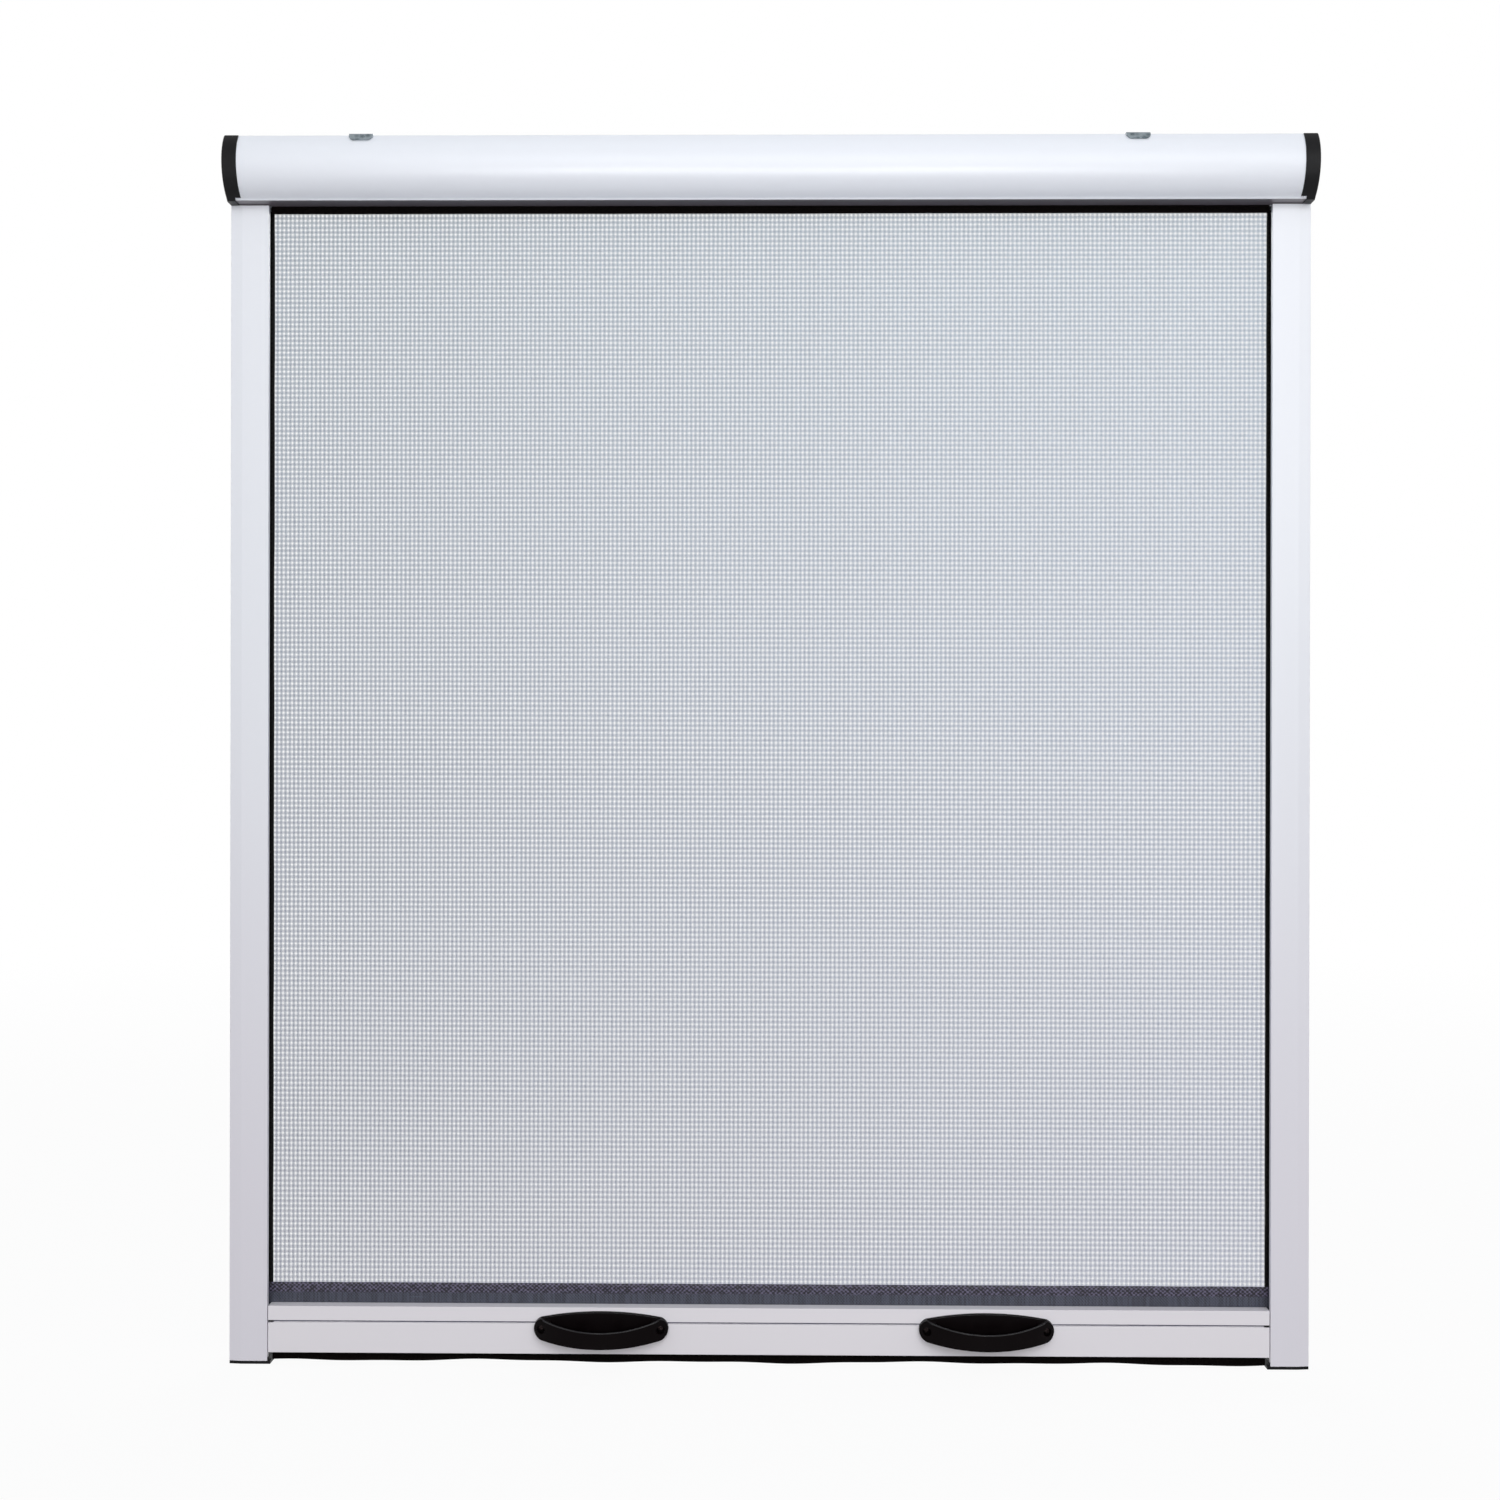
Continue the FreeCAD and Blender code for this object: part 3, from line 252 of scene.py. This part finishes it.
def zinc(name):
    """Galvanised sheet: fine rolling lines over cloudy spangle."""
    finish = Finish(name, linear(118, 128, 134), 0.40, metallic=1.0)
    spangle = finish.remap(finish.cells(230.0), 0.1, 0.75)
    finish.colour(finish.blend(spangle, linear(92, 104, 110), linear(140, 150, 156)))
    finish.rough(finish.noise(420.0, 3.0), 0.26, 0.48)
    finish.round_edges(0.3 * MM)
    finish.bump(finish.noise((90.0, 4200.0, 4200.0), 3.0), 0.03 * MM, 0.5)
    return finish.mat


def bright_steel(name):
    finish = Finish(name, linear(196, 192, 188), 0.24, metallic=1.0)
    finish.rough(finish.noise(2200.0, 3.0), 0.18, 0.36)
    finish.round_edges(0.2 * MM)
    finish.bump(finish.noise(5000.0, 2.0), 0.02 * MM, 0.4)
    return finish.mat


def burnished_steel(name):
    """Screw steel blackened in oil and rubbed in places."""
    finish = Finish(name, linear(34, 29, 29), 0.42, metallic=1.0)
    rub = finish.remap(finish.noise(900.0, 3.0), 0.45, 0.75)
    finish.colour(finish.blend(rub, linear(28, 24, 24), linear(66, 54, 54)))
    finish.round_edges(0.2 * MM)
    finish.bump(finish.noise(4000.0, 2.0), 0.02 * MM, 0.4)
    return finish.mat


def raw_aluminium(name):
    """Drawn tube, with its lines along X."""
    finish = Finish(name, linear(186, 188, 192), 0.34, metallic=1.0)
    finish.rough(finish.noise((20.0, 2500.0, 2500.0), 3.0), 0.26, 0.46)
    finish.bump(finish.noise((15.0, 3000.0, 3000.0), 2.0), 0.03 * MM, 0.5)
    return finish.mat


def grey_cord(name):
    finish = Finish(name, linear(92, 94, 98), 0.6, specular=0.35)
    finish.colour(finish.blend(finish.noise(500.0, 3.0), linear(80, 82, 86), linear(108, 110, 114)))
    finish.bump(finish.noise((1800.0, 5200.0, 5200.0), 2.0), 0.08 * MM, 0.5)
    return finish.mat


def thread_coat(name):
    """Glass yarn in a grey coating, black at both selvedges. Lighter to the right and greener above: painted
    light, for the way the light falls across the screen.
    """
    finish = Finish(name, linear(150, 164, 184), 0.5, specular=0.3)
    # Painted light: the yarn is painted lighter to the right and greener above, as the light falls across the
    # screen.
    high = finish.remap(finish.axis("Z"), 0.06, 0.86, smooth=False)
    left = finish.blend(high, linear(144, 150, 173), linear(147, 162, 178))
    right = finish.blend(high, linear(164, 171, 197), linear(167, 184, 201))
    body = finish.blend(finish.remap(finish.axis("X"), -0.36, 0.36, smooth=False), left, right)
    side = finish.calc("ABSOLUTE", finish.axis("X"))
    selvedge = finish.remap(side, SELVEDGE_X - 0.2 * MM, SELVEDGE_X + 0.2 * MM)
    finish.colour(finish.blend(selvedge, body, linear(8, 8, 9)))
    finish.bump(finish.noise(2600.0, 2.0), 0.08 * MM, 0.5)
    return finish.mat


def tape_coat(name):
    """Hem tape: a coarse dotted weave in the welded band above, and a finer, rubbed one below."""
    finish = Finish(name, linear(66, 69, 84), 0.46, specular=0.4)
    height = finish.axis("Z")
    above = finish.remap(height, BAND_FOOT_Z - 1.0 * MM, BAND_FOOT_Z + 1.0 * MM)

    def crossing(pitch_x, pitch_z):
        """Raised and sunken dots of a weave with the given pitches."""
        return finish.calc("MULTIPLY", finish.wave(finish.axis("X"), pitch_x), finish.wave(height, pitch_z))

    blotch = finish.remap(finish.noise((420.0, 420.0, 520.0), 2.0, 0.6), 0.3, 0.7, -0.6, 0.6)
    dots = finish.calc("ADD", crossing(3.3 * MM, 2.9 * MM), blotch)
    band = finish.blend(finish.remap(dots, -0.6, 1.2), linear(18, 15, 27), linear(104, 99, 124))
    weave = crossing(2.1 * MM, 2.3 * MM)
    woven = finish.blend(finish.remap(weave, -0.6, 0.6), linear(34, 36, 46), linear(66, 68, 82))
    stripe = finish.remap(finish.noise((700.0, 700.0, 30.0), 2.0), 0.35, 0.65)
    woven = finish.blend(finish.calc("MULTIPLY", stripe, 0.45), woven, linear(86, 90, 106))
    rub = finish.remap(finish.noise((26.0, 30.0, 300.0), 5.0, 0.65), 0.60, 0.85)
    woven = finish.blend(rub, woven, linear(98, 104, 120))
    from_lap = finish.calc("ABSOLUTE", finish.calc("SUBTRACT", finish.axis("X"), TAPE_LAP_X))
    woven = finish.blend(finish.remap(from_lap, 0.0, 1.2 * MM), linear(40, 42, 52), woven)
    finish.colour(finish.blend(above, woven, band))
    finish.rough(finish.noise(300.0, 3.0), 0.36, 0.56)
    finish.bump(finish.calc("MULTIPLY", dots, above), 0.12 * MM, 0.8)
    below = finish.calc("SUBTRACT", 1.0, above)
    finish.bump(finish.calc("MULTIPLY", weave, below), 0.18 * MM, 0.8)
    return finish.mat


def roll_coat(name):
    """Turns of mesh on the roller: a grid of lighter threads over a darker tone, which is painted shade for
    the turns below.
    """
    finish = Finish(name, linear(60, 66, 74), 0.55, specular=0.35)
    from_axis = [finish.calc("SUBTRACT", finish.axis(a), c) for a, c in (("Z", ROLLER_Z), ("Y", ROLLER_Y))]
    weft = finish.calc("SINE", finish.calc("MULTIPLY", finish.calc("ARCTAN2", *from_axis), 21.0))
    grid = finish.calc("MAXIMUM", finish.wave(finish.axis("X"), GRID_X), weft)
    # Painted shade: between the threads the roll is painted dark, for the shaded turns beneath.
    finish.colour(finish.blend(finish.remap(grid, 0.3, 0.9), linear(38, 42, 48), linear(98, 106, 116)))
    finish.bump(grid, 0.2 * MM, 0.8)
    return finish.mat


LINES_X = (12.0, 900.0, 900.0)
LINES_Z = (900.0, 900.0, 12.0)
# Painted shade: the cassette's coat turns a darker grey below 861.62 mm, on its underside.
COAT_X = white_coat("white_coat_across", linear(235, 239, 246), LINES_X, painted_shade_below=861.62 * MM)
# Painted light: the guides' coat is painted pinker towards the sill.
COAT_Z = white_coat("white_coat_upright", linear(236, 239, 245), LINES_Z, foot=linear(238, 236, 244))
# Painted light: the bar's coat is a lighter copy of the same white coat, for the extra light the bar gets.
COAT_BAR_LIT = white_coat("white_coat_bar_lit", linear(247, 244, 249), LINES_X)
BLACK = black_plastic("black_plastic", linear(17, 17, 19))
FOOT_BLACK = black_plastic("black_plastic_foot", linear(15, 15, 17), 0.45)
GRIP_BLACK = black_plastic("black_plastic_grip", linear(8, 4, 5), 0.40, 0.05)
# Partly painted highlight: the round beads on the grips' edges are a lighter, bluer, shinier copy of the
# grip's black.
GRIP_EDGE_HIGHLIGHT = black_plastic("black_plastic_edge_highlight", linear(16, 16, 20), 0.24, 0.5, 0.5)
BURNISHED = burnished_steel("burnished_steel")
# Painted shade: a dark bluish strip that stands in for the shade in the groove of the pull bar.
GROOVE_SHADE = black_plastic("bar_groove_shade", linear(92, 92, 112), 0.6, 0.1)
PILE = pile_black("black_pile")
ZINC = zinc("zinc_sheet")
STEEL = bright_steel("bright_steel")
RAW = raw_aluminium("raw_aluminium")
CORD = grey_cord("grey_cord")
THREAD = thread_coat("mesh_cloth")
TAPE = tape_coat("slate_tape")
ROLL = roll_coat("mesh_roll")

NODE_FINISH = {
    "cassette": COAT_X,
    "pull_bar": COAT_BAR_LIT,
    "guide_left": COAT_Z,
    "guide_right": COAT_Z,
    "end_cap_left": BLACK,
    "end_cap_right": BLACK,
    "guide_foot_left": FOOT_BLACK,
    "guide_foot_right": FOOT_BLACK,
    "bar_end_left": BLACK,
    "bar_end_right": BLACK,
    "pull_handle_left": GRIP_BLACK,
    "pull_handle_right": GRIP_BLACK,
    "mounting_clip_left": ZINC,
    "mounting_clip_right": ZINC,
    "handle_screws": BURNISHED,
    "spring_shaft": STEEL,
    "torsion_spring": STEEL,
    "idle_pin": STEEL,
    "roller_tube": RAW,
    "roller_plug_left": BLACK,
    "roller_plug_right": BLACK,
    "roller_spline": CORD,
    "hem_spline": CORD,
    "screen_cloth": THREAD,
    "wound_cloth": ROLL,
    "hem_tape": TAPE,
}
# The six nodes that the list leaves out are the pile strips.
for node_name, node in NODES.items():
    chosen = NODE_FINISH.get(node_name, PILE)
    if not node.material_slots:
        node.data.materials.append(chosen)
    for one_slot in node.material_slots:
        one_slot.material = chosen


# Pieces
def piece(name, verts, faces, finish, body, smooth=False, replaces=()):
    mesh = bpy.data.meshes.new(name)
    mesh.from_pydata([tuple(v) for v in verts], [], faces)
    mesh.materials.append(finish)
    mesh.polygons.foreach_set("use_smooth", [smooth] * len(mesh.polygons))
    mesh.update()
    item = bpy.data.objects.new(name, mesh)
    bpy.context.scene.collection.objects.link(item)
    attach(item, body)
    if replaces:
        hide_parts(*replaces)
    return item


def tube(faces, first, rings, sides):
    """Faces over rings of points that follow each other from index first, closed at both ends."""
    for ring in range(rings - 1):
        base = first + ring * sides
        for q in range(sides):
            nxt = (q + 1) % sides
            faces.append((base + q, base + nxt, base + sides + nxt, base + sides + q))
    last = first + (rings - 1) * sides
    faces.append(tuple(first + sides - 1 - q for q in range(sides)))
    faces.append(tuple(last + q for q in range(sides)))


def mesh_cloth():
    """The stretched cloth: a gauze of fine yarn, close along the grid's lines and sparse in each cell."""
    low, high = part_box("screen_cloth")
    wide = high.x - low.x
    tall = high.z - low.z
    plane = (low.y + high.y) / 2
    in_cell = 8
    across = round(wide / GRID_X) * in_cell
    down = round(tall / GRID_Z) * in_cell
    edge = 0.15 * MM
    apart = 0.05 * MM
    steps = 3
    verts = []
    faces = []

    def spread(share, growth):
        """Place of a strand, where the cells grow steadily from 1 - growth to 1 + growth of their mean."""
        return share + growth * (share * share - share)

    def gauge(middle, swing, index):
        """Half width of a strand by its place in the cell, or None for the one that the middle leaves out."""
        place = index % in_cell
        if place == in_cell // 2:
            return None
        return max(0.018, middle + swing * math.cos(TURN * place / in_cell)) * MM

    def strand(start, ahead, side, half, out):
        thin = 0.6 * half + 0.02 * MM
        lean = dice.uniform(-0.03, 0.03) * MM
        phase = dice.uniform(0, 6.28)
        first = len(verts)
        for k in range(steps + 1):
            point = start + ahead * (k / steps) + side * (lean * math.sin(2.9 * k / steps + phase))
            a = side * half
            b = out * thin
            verts.extend((point + a, point + b, point - a, point - b))
        tube(faces, first, steps + 1, 4)

    for i in range(across + 1):
        share = i / across
        half = gauge(0.070, 0.058 - 0.018 * share, i)
        if half is None:
            continue
        x = low.x + edge + (wide - 2 * edge) * spread(share, 0.0215)
        strand(Vector((x, plane - apart, low.z)), Z * tall, X, half, Y)
    for i in range(down + 1):
        share = i / down
        half = gauge(0.078, 0.048 - 0.010 * share, i)
        if half is None:
            continue
        z = high.z - edge - (tall - 2 * edge) * spread(share, 0.0415)
        strand(Vector((low.x, plane + apart, z)), X * wide, Z, half, -Y)
    cloth = piece("mesh_cloth", verts, faces, THREAD, "frame", replaces=["screen_cloth"])
    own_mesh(cloth)


def hem_tape():
    """Tape welded to the lower edge of the cloth, a little thicker along its upper band."""
    low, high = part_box("hem_tape")
    across = 240
    rows = 22
    middle = (low.y + high.y) / 2
    verts = []
    faces = []
    for side in (-1, 1):
        for j in range(rows + 1):
            for i in range(across + 1):
                x = low.x + (high.x - low.x) * i / across
                z = low.z + (high.z - low.z) * j / rows
                thick = 1.0 if z > high.z - 7.2 * MM else 0.62
                if j == rows:
                    z += 0.12 * MM * math.sin(x * 97.0) * math.sin(x * 23.0)
                    thick = 0.75
                wave = 0.05 * math.sin(x * 61.0) + 0.04 * math.sin(x * 143.0 + 1.7)
                verts.append(Vector((x, middle + side * (0.26 * MM * thick) + wave * MM, z)))
    layer = (across + 1) * (rows + 1)

    def wall(a, b):
        """A face from an edge of the front layer to the same edge of the rear one."""
        faces.append((a, b, layer + b, layer + a))

    for j in range(rows):
        for i in range(across):
            a = j * (across + 1) + i
            d = a + across + 1
            faces.append((a, a + 1, d + 1, d))
            faces.append((layer + d, layer + d + 1, layer + a + 1, layer + a))
    top = rows * (across + 1)
    for i in range(across):
        wall(i + 1, i)
        wall(top + i, top + i + 1)
    for j in range(rows):
        left = j * (across + 1)
        right = left + across
        wall(left, left + across + 1)
        wall(right + across + 1, right)
    tape = piece("hem_tape_cloth", verts, faces, TAPE, "bar", True, replaces=["hem_tape"])


def cloth_roll():
    """The turns of cloth that stay on the roller when the screen is down, as one spiral sheet."""
    low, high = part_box("wound_cloth")
    axis_y = (low.y + high.y) / 2
    axis_z = (low.z + high.z) / 2
    outer = (high.z - low.z) / 2 - 0.05 * MM
    inner = outer - 0.95 * MM
    turns = 2.3
    steps = 138
    thick = 0.26 * MM
    x0, x1 = low.x + 0.4 * MM, high.x - 0.4 * MM
    verts = []
    faces = []
    for k in range(steps + 1):
        angle = TURN * turns * k / steps
        face = inner + (outer - inner) * k / steps
        back = face - thick
        for r, x in ((back, x0), (back, x1), (face, x1), (face, x0)):
            verts.append(Vector((x, axis_y + r * math.cos(angle), axis_z + r * math.sin(angle))))
    tube(faces, 0, steps + 1, 4)
    roll = piece("cloth_roll", verts, faces, ROLL, "roller", replaces=["wound_cloth"])


def pile(name, node, body, along, out, across, rows, pitch, wander, past=0.0):
    """Pile strip: woven backing, a dense core and the fibres that stand past it.

    along, out and across are unit vectors, with the fibres pointing out. The line of their tips wanders in
    and out, and stands past the end of the solid by past.
    """
    low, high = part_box(node)
    corners = [Vector((x, y, z)) for x in (low.x, high.x) for y in (low.y, high.y) for z in (low.z, high.z)]

    def span(axis):
        places = [corner.dot(axis) for corner in corners]
        return min(places), max(places)

    start, stop = span(along)
    root, tip = span(out)
    near, far = span(across)
    middle = (near + far) / 2
    foot = root + 1.2 * MM
    half = 1.1 * MM
    core = half * 0.86
    verts = []
    faces = []

    def at(a, o, w):
        return along * a + out * o + across * w

    def reach(a):
        swell = math.sin(a * 41.0 + 0.6) * 0.5 + math.sin(a * 17.0 + 2.1) * 0.35 + math.sin(a * 93.0) * 0.25
        return tip + past + wander * swell

    w0, w1 = near + 0.1 * MM, far - 0.1 * MM
    for o in (root, foot):
        verts.extend((at(start, o, w1), at(stop, o, w1), at(stop, o, w0), at(start, o, w0)))
    tube(faces, 0, 2, 4)

    lengths = max(1, round((stop - start) / (6.0 * MM)))
    first = len(verts)
    for k in range(lengths + 1):
        a = start + (stop - start) * k / lengths
        top = reach(a) - 0.35 * MM
        for o, w in ((top, -core * 0.9), (top, core * 0.9), (foot, core), (foot, -core)):
            verts.append(at(a, o, middle + w))
    tube(faces, first, lengths + 1, 4)

    count = round((stop - start) / pitch)
    for row in range(rows):
        w_root = -half + 2 * half * (row + 0.5) / rows
        for k in range(count):
            a = start + (k + 0.5 + dice.uniform(-0.4, 0.4)) * pitch
            lean = dice.uniform(-0.45, 0.45) * MM
            w = middle + w_root + dice.uniform(-0.15, 0.15) * MM
            w_tip = w + dice.uniform(-0.25, 0.35) * MM * (1 if w_root > 0 else -1)
            top = reach(a) - abs(dice.gauss(0, 0.35)) * MM
            thick = dice.uniform(0.09, 0.15) * MM
            spot = min(max(a, start + 0.2 * MM), stop - 0.2 * MM)
            end = min(max(spot + lean, start), stop)
            f = len(verts)
            verts.append(at(spot - thick, foot, w - thick))
            verts.append(at(spot + thick, foot, w - thick))
            verts.append(at(spot, foot, w + thick))
            verts.append(at(end, top, w_tip))
            faces.extend(((f, f + 1, f + 3), (f + 1, f + 2, f + 3), (f + 2, f, f + 3), (f + 2, f + 1, f)))
    piece(name, verts, faces, PILE, body, replaces=[node])


def all_piles():
    pile("pile_cassette", "cassette_brush", "frame", X, -Z, Y, 3, 0.42 * MM, 0.15 * MM)
    pile("pile_bar", "bar_brush", "bar", X, -Z, Y, 3, 0.36 * MM, 1.2 * MM, past=1.7 * MM)
    for side, inward in (("left", X), ("right", -X)):
        pile("pile_front_" + side, "guide_brush_front_" + side, "frame", Z, Y, X, 2, 0.60 * MM, 0.1 * MM)
        pile("pile_rear_" + side, "guide_brush_rear_" + side, "frame", Z, inward, Y, 3, 0.42 * MM, 0.25 * MM)


def bead(verts, faces, path, radius, sides=8):
    """A round bead along a path that runs across the object."""
    first = len(verts)
    for k, point in enumerate(path):
        before = path[max(0, k - 1)]
        after = path[min(len(path) - 1, k + 1)]
        ahead = (after - before).normalized()
        out = ahead.cross(Z).normalized()
        up = out.cross(ahead).normalized()
        for q in range(sides):
            turn = TURN * q / sides
            verts.append(point + out * (radius * math.cos(turn)) + up * (radius * math.sin(turn)))
    tube(faces, first, len(path), sides)


def arc(radius, x):
    """How far an arc, with its radius in mm, has left its tangent at x metres from where it touches."""
    return radius * MM - math.sqrt((radius * MM) ** 2 - x * x)


def grip_edges(side):
    """Rolled edges of a finger pull, along the sagging rim of its cup and the top of its back plate, in a
    lighter, bluer and shinier black than the grip: partly painted highlight.
    """
    low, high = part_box("pull_handle_" + side)
    middle = (low.x + high.x) / 2
    centre_z = high.z - GRIP_CENTRE
    verts = []
    faces = []
    rim = []
    for k in range(33):
        x = (-42.6 + 85.2 * k / 32) * MM
        bow = max(arc(83.2, x) - 20.03 * MM, -20.0 * MM)
        sag = arc(155.0, x) + 1.14 * MM
        rim.append(Vector((middle + x, high.y + bow + 0.44 * MM, centre_z + sag - 0.30 * MM)))
    bead(verts, faces, rim, 0.50 * MM)
    top = []
    for k in range(25):
        x = (-43.6 + 87.2 * k / 24) * MM
        top.append(Vector((middle + x, high.y - 2.1 * MM, high.z - arc(237.8, x) - 0.55 * MM)))
    bead(verts, faces, top, 0.45 * MM)
    piece("grip_edge_" + side, verts, faces, GRIP_EDGE_HIGHLIGHT, "bar", smooth=True)


def grip_screws():
    """Four screws through the finger pulls: low head, six-lobed drive, plain shank."""
    sides = 36
    centres = []
    for side in ("left", "right"):
        low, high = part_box("pull_handle_" + side)
        middle = (low.x + high.x) / 2
        for hand in (-1, 1):
            centres.append((middle + hand * 44.2 * MM, high.y, high.z - GRIP_CENTRE))
    # Radius and depth in mm from the tip of the shank to the floor of the drive, and whether it has lobes.
    rings = [(1.35, 5.0, 0), (1.35, -1.75, 0), (2.4, -1.75, 0), (2.4, -2.6, 0), (1.9, -3.1, 0),
             (1.15, -3.2, 1), (1.05, -2.4, 1), (0.05, -2.2, 0)]
    verts = []
    faces = []
    for x, y, z in centres:
        first = len(verts)
        for radius, depth, lobed in rings:
            for q in range(sides):
                turn = TURN * q / sides
                r = (radius + lobed * 0.16 * math.cos(6 * turn)) * MM
                verts.append(Vector((x + r * math.cos(turn), y + depth * MM, z + r * math.sin(turn))))
        tube(faces, first, len(rings), sides)
    piece("grip_screws", verts, faces, BURNISHED, "bar", replaces=["handle_screws"])


def bar_groove_shade():
    """Painted shade: a dark bluish strip in the groove at the foot of the upper flange of the pull bar,
    standing in for the shade there.
    """
    low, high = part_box("pull_bar")
    reach = high.x - 3.9 * MM
    front = low.y + 0.25 * MM
    back = front + 0.6 * MM
    top = low.z + 23.85 * MM
    foot = top - 0.75 * MM
    verts = []
    faces = []
    for x in (-reach, reach):
        verts.extend(Vector((x, y, z)) for y, z in ((front, foot), (front, top), (back, top), (back, foot)))
    tube(faces, 0, 2, 4)
    piece("bar_groove_shade", verts, faces, GROOVE_SHADE, "bar")


mesh_cloth()
hem_tape()
cloth_roll()
all_piles()
bar_groove_shade()
grip_edges("left")
grip_edges("right")
grip_screws()


# Stage, camera and light
def seen_directly(tree):
    """One for rays from the camera and for reflected and refracted ones."""
    path = tree.nodes.new("ShaderNodeLightPath")
    total = path.outputs["Is Camera Ray"]
    for name in ("Is Glossy Ray", "Is Transmission Ray"):
        add = tree.nodes.new("ShaderNodeMath")
        add.operation = "MAXIMUM"
        tree.links.new(total, add.inputs[0])
        tree.links.new(path.outputs[name], add.inputs[1])
        total = add.outputs["Value"]
    return total


def floor():
    """Floor that shows nearly white, with the object's shadow, and lights the object only a little."""
    mesh = bpy.data.meshes.new("floor")
    far = 9.0
    mesh.from_pydata([(-far, -far, 0), (far, -far, 0), (far, far, 0), (-far, far, 0)], [], [(0, 1, 2, 3)])
    item = bpy.data.objects.new("floor", mesh)
    bpy.context.scene.collection.objects.link(item)
    mat = bpy.data.materials.new("pale_floor")
    mat.use_nodes = True
    tree = mat.node_tree
    tree.nodes.clear()
    seen = seen_directly(tree)
    tone = tree.nodes.new("ShaderNodeMix")
    tone.data_type = "RGBA"
    dull, pale = colour_sockets(tone.inputs)
    dull.default_value = (0.17, 0.15, 0.155, 1)
    pale.default_value = (0.80, 0.80, 0.81, 1)
    tree.links.new(seen, tone.inputs["Factor"])
    lit = tree.nodes.new("ShaderNodeBsdfDiffuse")
    tree.links.new(colour_sockets(tone.outputs)[0], lit.inputs["Color"])
    glow = tree.nodes.new("ShaderNodeEmission")
    glow.inputs["Color"].default_value = (1, 1, 1, 1)
    glow.inputs["Strength"].default_value = 1.0
    coords = tree.nodes.new("ShaderNodeTexCoord")
    away = tree.nodes.new("ShaderNodeVectorMath")
    away.operation = "LENGTH"
    tree.links.new(coords.outputs["Object"], away.inputs[0])
    fade = tree.nodes.new("ShaderNodeMapRange")
    fade.interpolation_type = "SMOOTHSTEP"
    fade.inputs["From Min"].default_value = 0.9
    fade.inputs["From Max"].default_value = 3.2
    fade.inputs["To Min"].default_value = 0.93
    fade.inputs["To Max"].default_value = 1.0
    tree.links.new(away.outputs["Value"], fade.inputs["Value"])
    share = tree.nodes.new("ShaderNodeMath")
    share.operation = "MULTIPLY"
    tree.links.new(seen, share.inputs[0])
    tree.links.new(fade.outputs["Result"], share.inputs[1])
    mix = tree.nodes.new("ShaderNodeMixShader")
    tree.links.new(share.outputs["Value"], mix.inputs["Fac"])
    tree.links.new(lit.outputs["BSDF"], mix.inputs[1])
    tree.links.new(glow.outputs["Emission"], mix.inputs[2])
    out = tree.nodes.new("ShaderNodeOutputMaterial")
    tree.links.new(mix.outputs["Shader"], out.inputs["Surface"])
    mesh.materials.append(mat)


def world():
    """White to the camera and in reflections, and a soft even fill for everything else."""
    sky = bpy.data.worlds.new("studio")
    bpy.context.scene.world = sky
    sky.use_nodes = True
    tree = sky.node_tree
    tree.nodes.clear()
    fill = tree.nodes.new("ShaderNodeBackground")
    fill.inputs["Color"].default_value = (0.97, 0.98, 1.0, 1)
    fill.inputs["Strength"].default_value = 0.50
    white = tree.nodes.new("ShaderNodeBackground")
    white.inputs["Color"].default_value = (1, 1, 1, 1)
    white.inputs["Strength"].default_value = 1.0
    mix = tree.nodes.new("ShaderNodeMixShader")
    tree.links.new(seen_directly(tree), mix.inputs["Fac"])
    tree.links.new(fill.outputs["Background"], mix.inputs[1])
    tree.links.new(white.outputs["Background"], mix.inputs[2])
    out = tree.nodes.new("ShaderNodeOutputWorld")
    tree.links.new(mix.outputs["Shader"], out.inputs["Surface"])


def lamp(name, place, aim, size, power, colour=(1, 1, 1), spread=180.0):
    data = bpy.data.lights.new(name, "AREA")
    data.shape = "RECTANGLE"
    data.size, data.size_y = size
    data.energy = power
    data.color = colour
    data.spread = math.radians(spread)
    item = bpy.data.objects.new(name, data)
    bpy.context.scene.collection.objects.link(item)
    item.location = place
    item.rotation_euler = (Vector(aim) - Vector(place)).to_track_quat("-Z", "Y").to_euler()


def camera():
    """Pose fitted to the outline of the frame in the picture: yaw, pitch and roll are small."""
    yaw, pitch, roll = 0.0120, -0.0008, -0.0018
    turn = Matrix.Rotation(yaw, 3, "Z") @ Matrix.Rotation(pitch, 3, "X") @ Matrix.Rotation(roll, 3, "Y")
    right, ahead, up = (turn @ axis for axis in (X, Y, Z))
    data = bpy.data.cameras.new("camera")
    data.lens = 45.42
    data.sensor_width = 36.0
    data.sensor_fit = "HORIZONTAL"
    data.clip_start = 0.01
    item = bpy.data.objects.new("camera", data)
    bpy.context.scene.collection.objects.link(item)
    pose = Matrix.Identity(4)
    for row in range(3):
        pose[row][0] = right[row]
        pose[row][1] = up[row]
        pose[row][2] = -ahead[row]
    pose.translation = Vector((0.0033, -1.4000, 0.4581))
    item.matrix_world = pose
    bpy.context.scene.camera = item


floor()
world()
lamp("key", (0.40, -2.1, 1.32), (0.0, 0.0, 0.5), (2.4, 1.2), 21.0, (0.985, 0.992, 1.0))
lamp("softbox_left", (-0.25, -1.9, 0.43), (0.0, 0.0, 0.8), (0.30, 0.30), 3.6)
lamp("softbox_right", (0.32, -1.9, 0.43), (0.0, 0.0, 0.8), (0.23, 0.30), 3.4)
lamp("uplight", (0.05, -1.5, 0.30), (0.0, 0.0, 1.02), (1.2, 0.3), 0.75, (0.98, 0.99, 1.0), 60.0)
lamp("rear_fill", (0.2, 2.0, 1.7), (0.0, 0.0, 0.5), (1.6, 1.0), 17.0)
camera()

bpy.context.scene.view_settings.view_transform = "Standard"
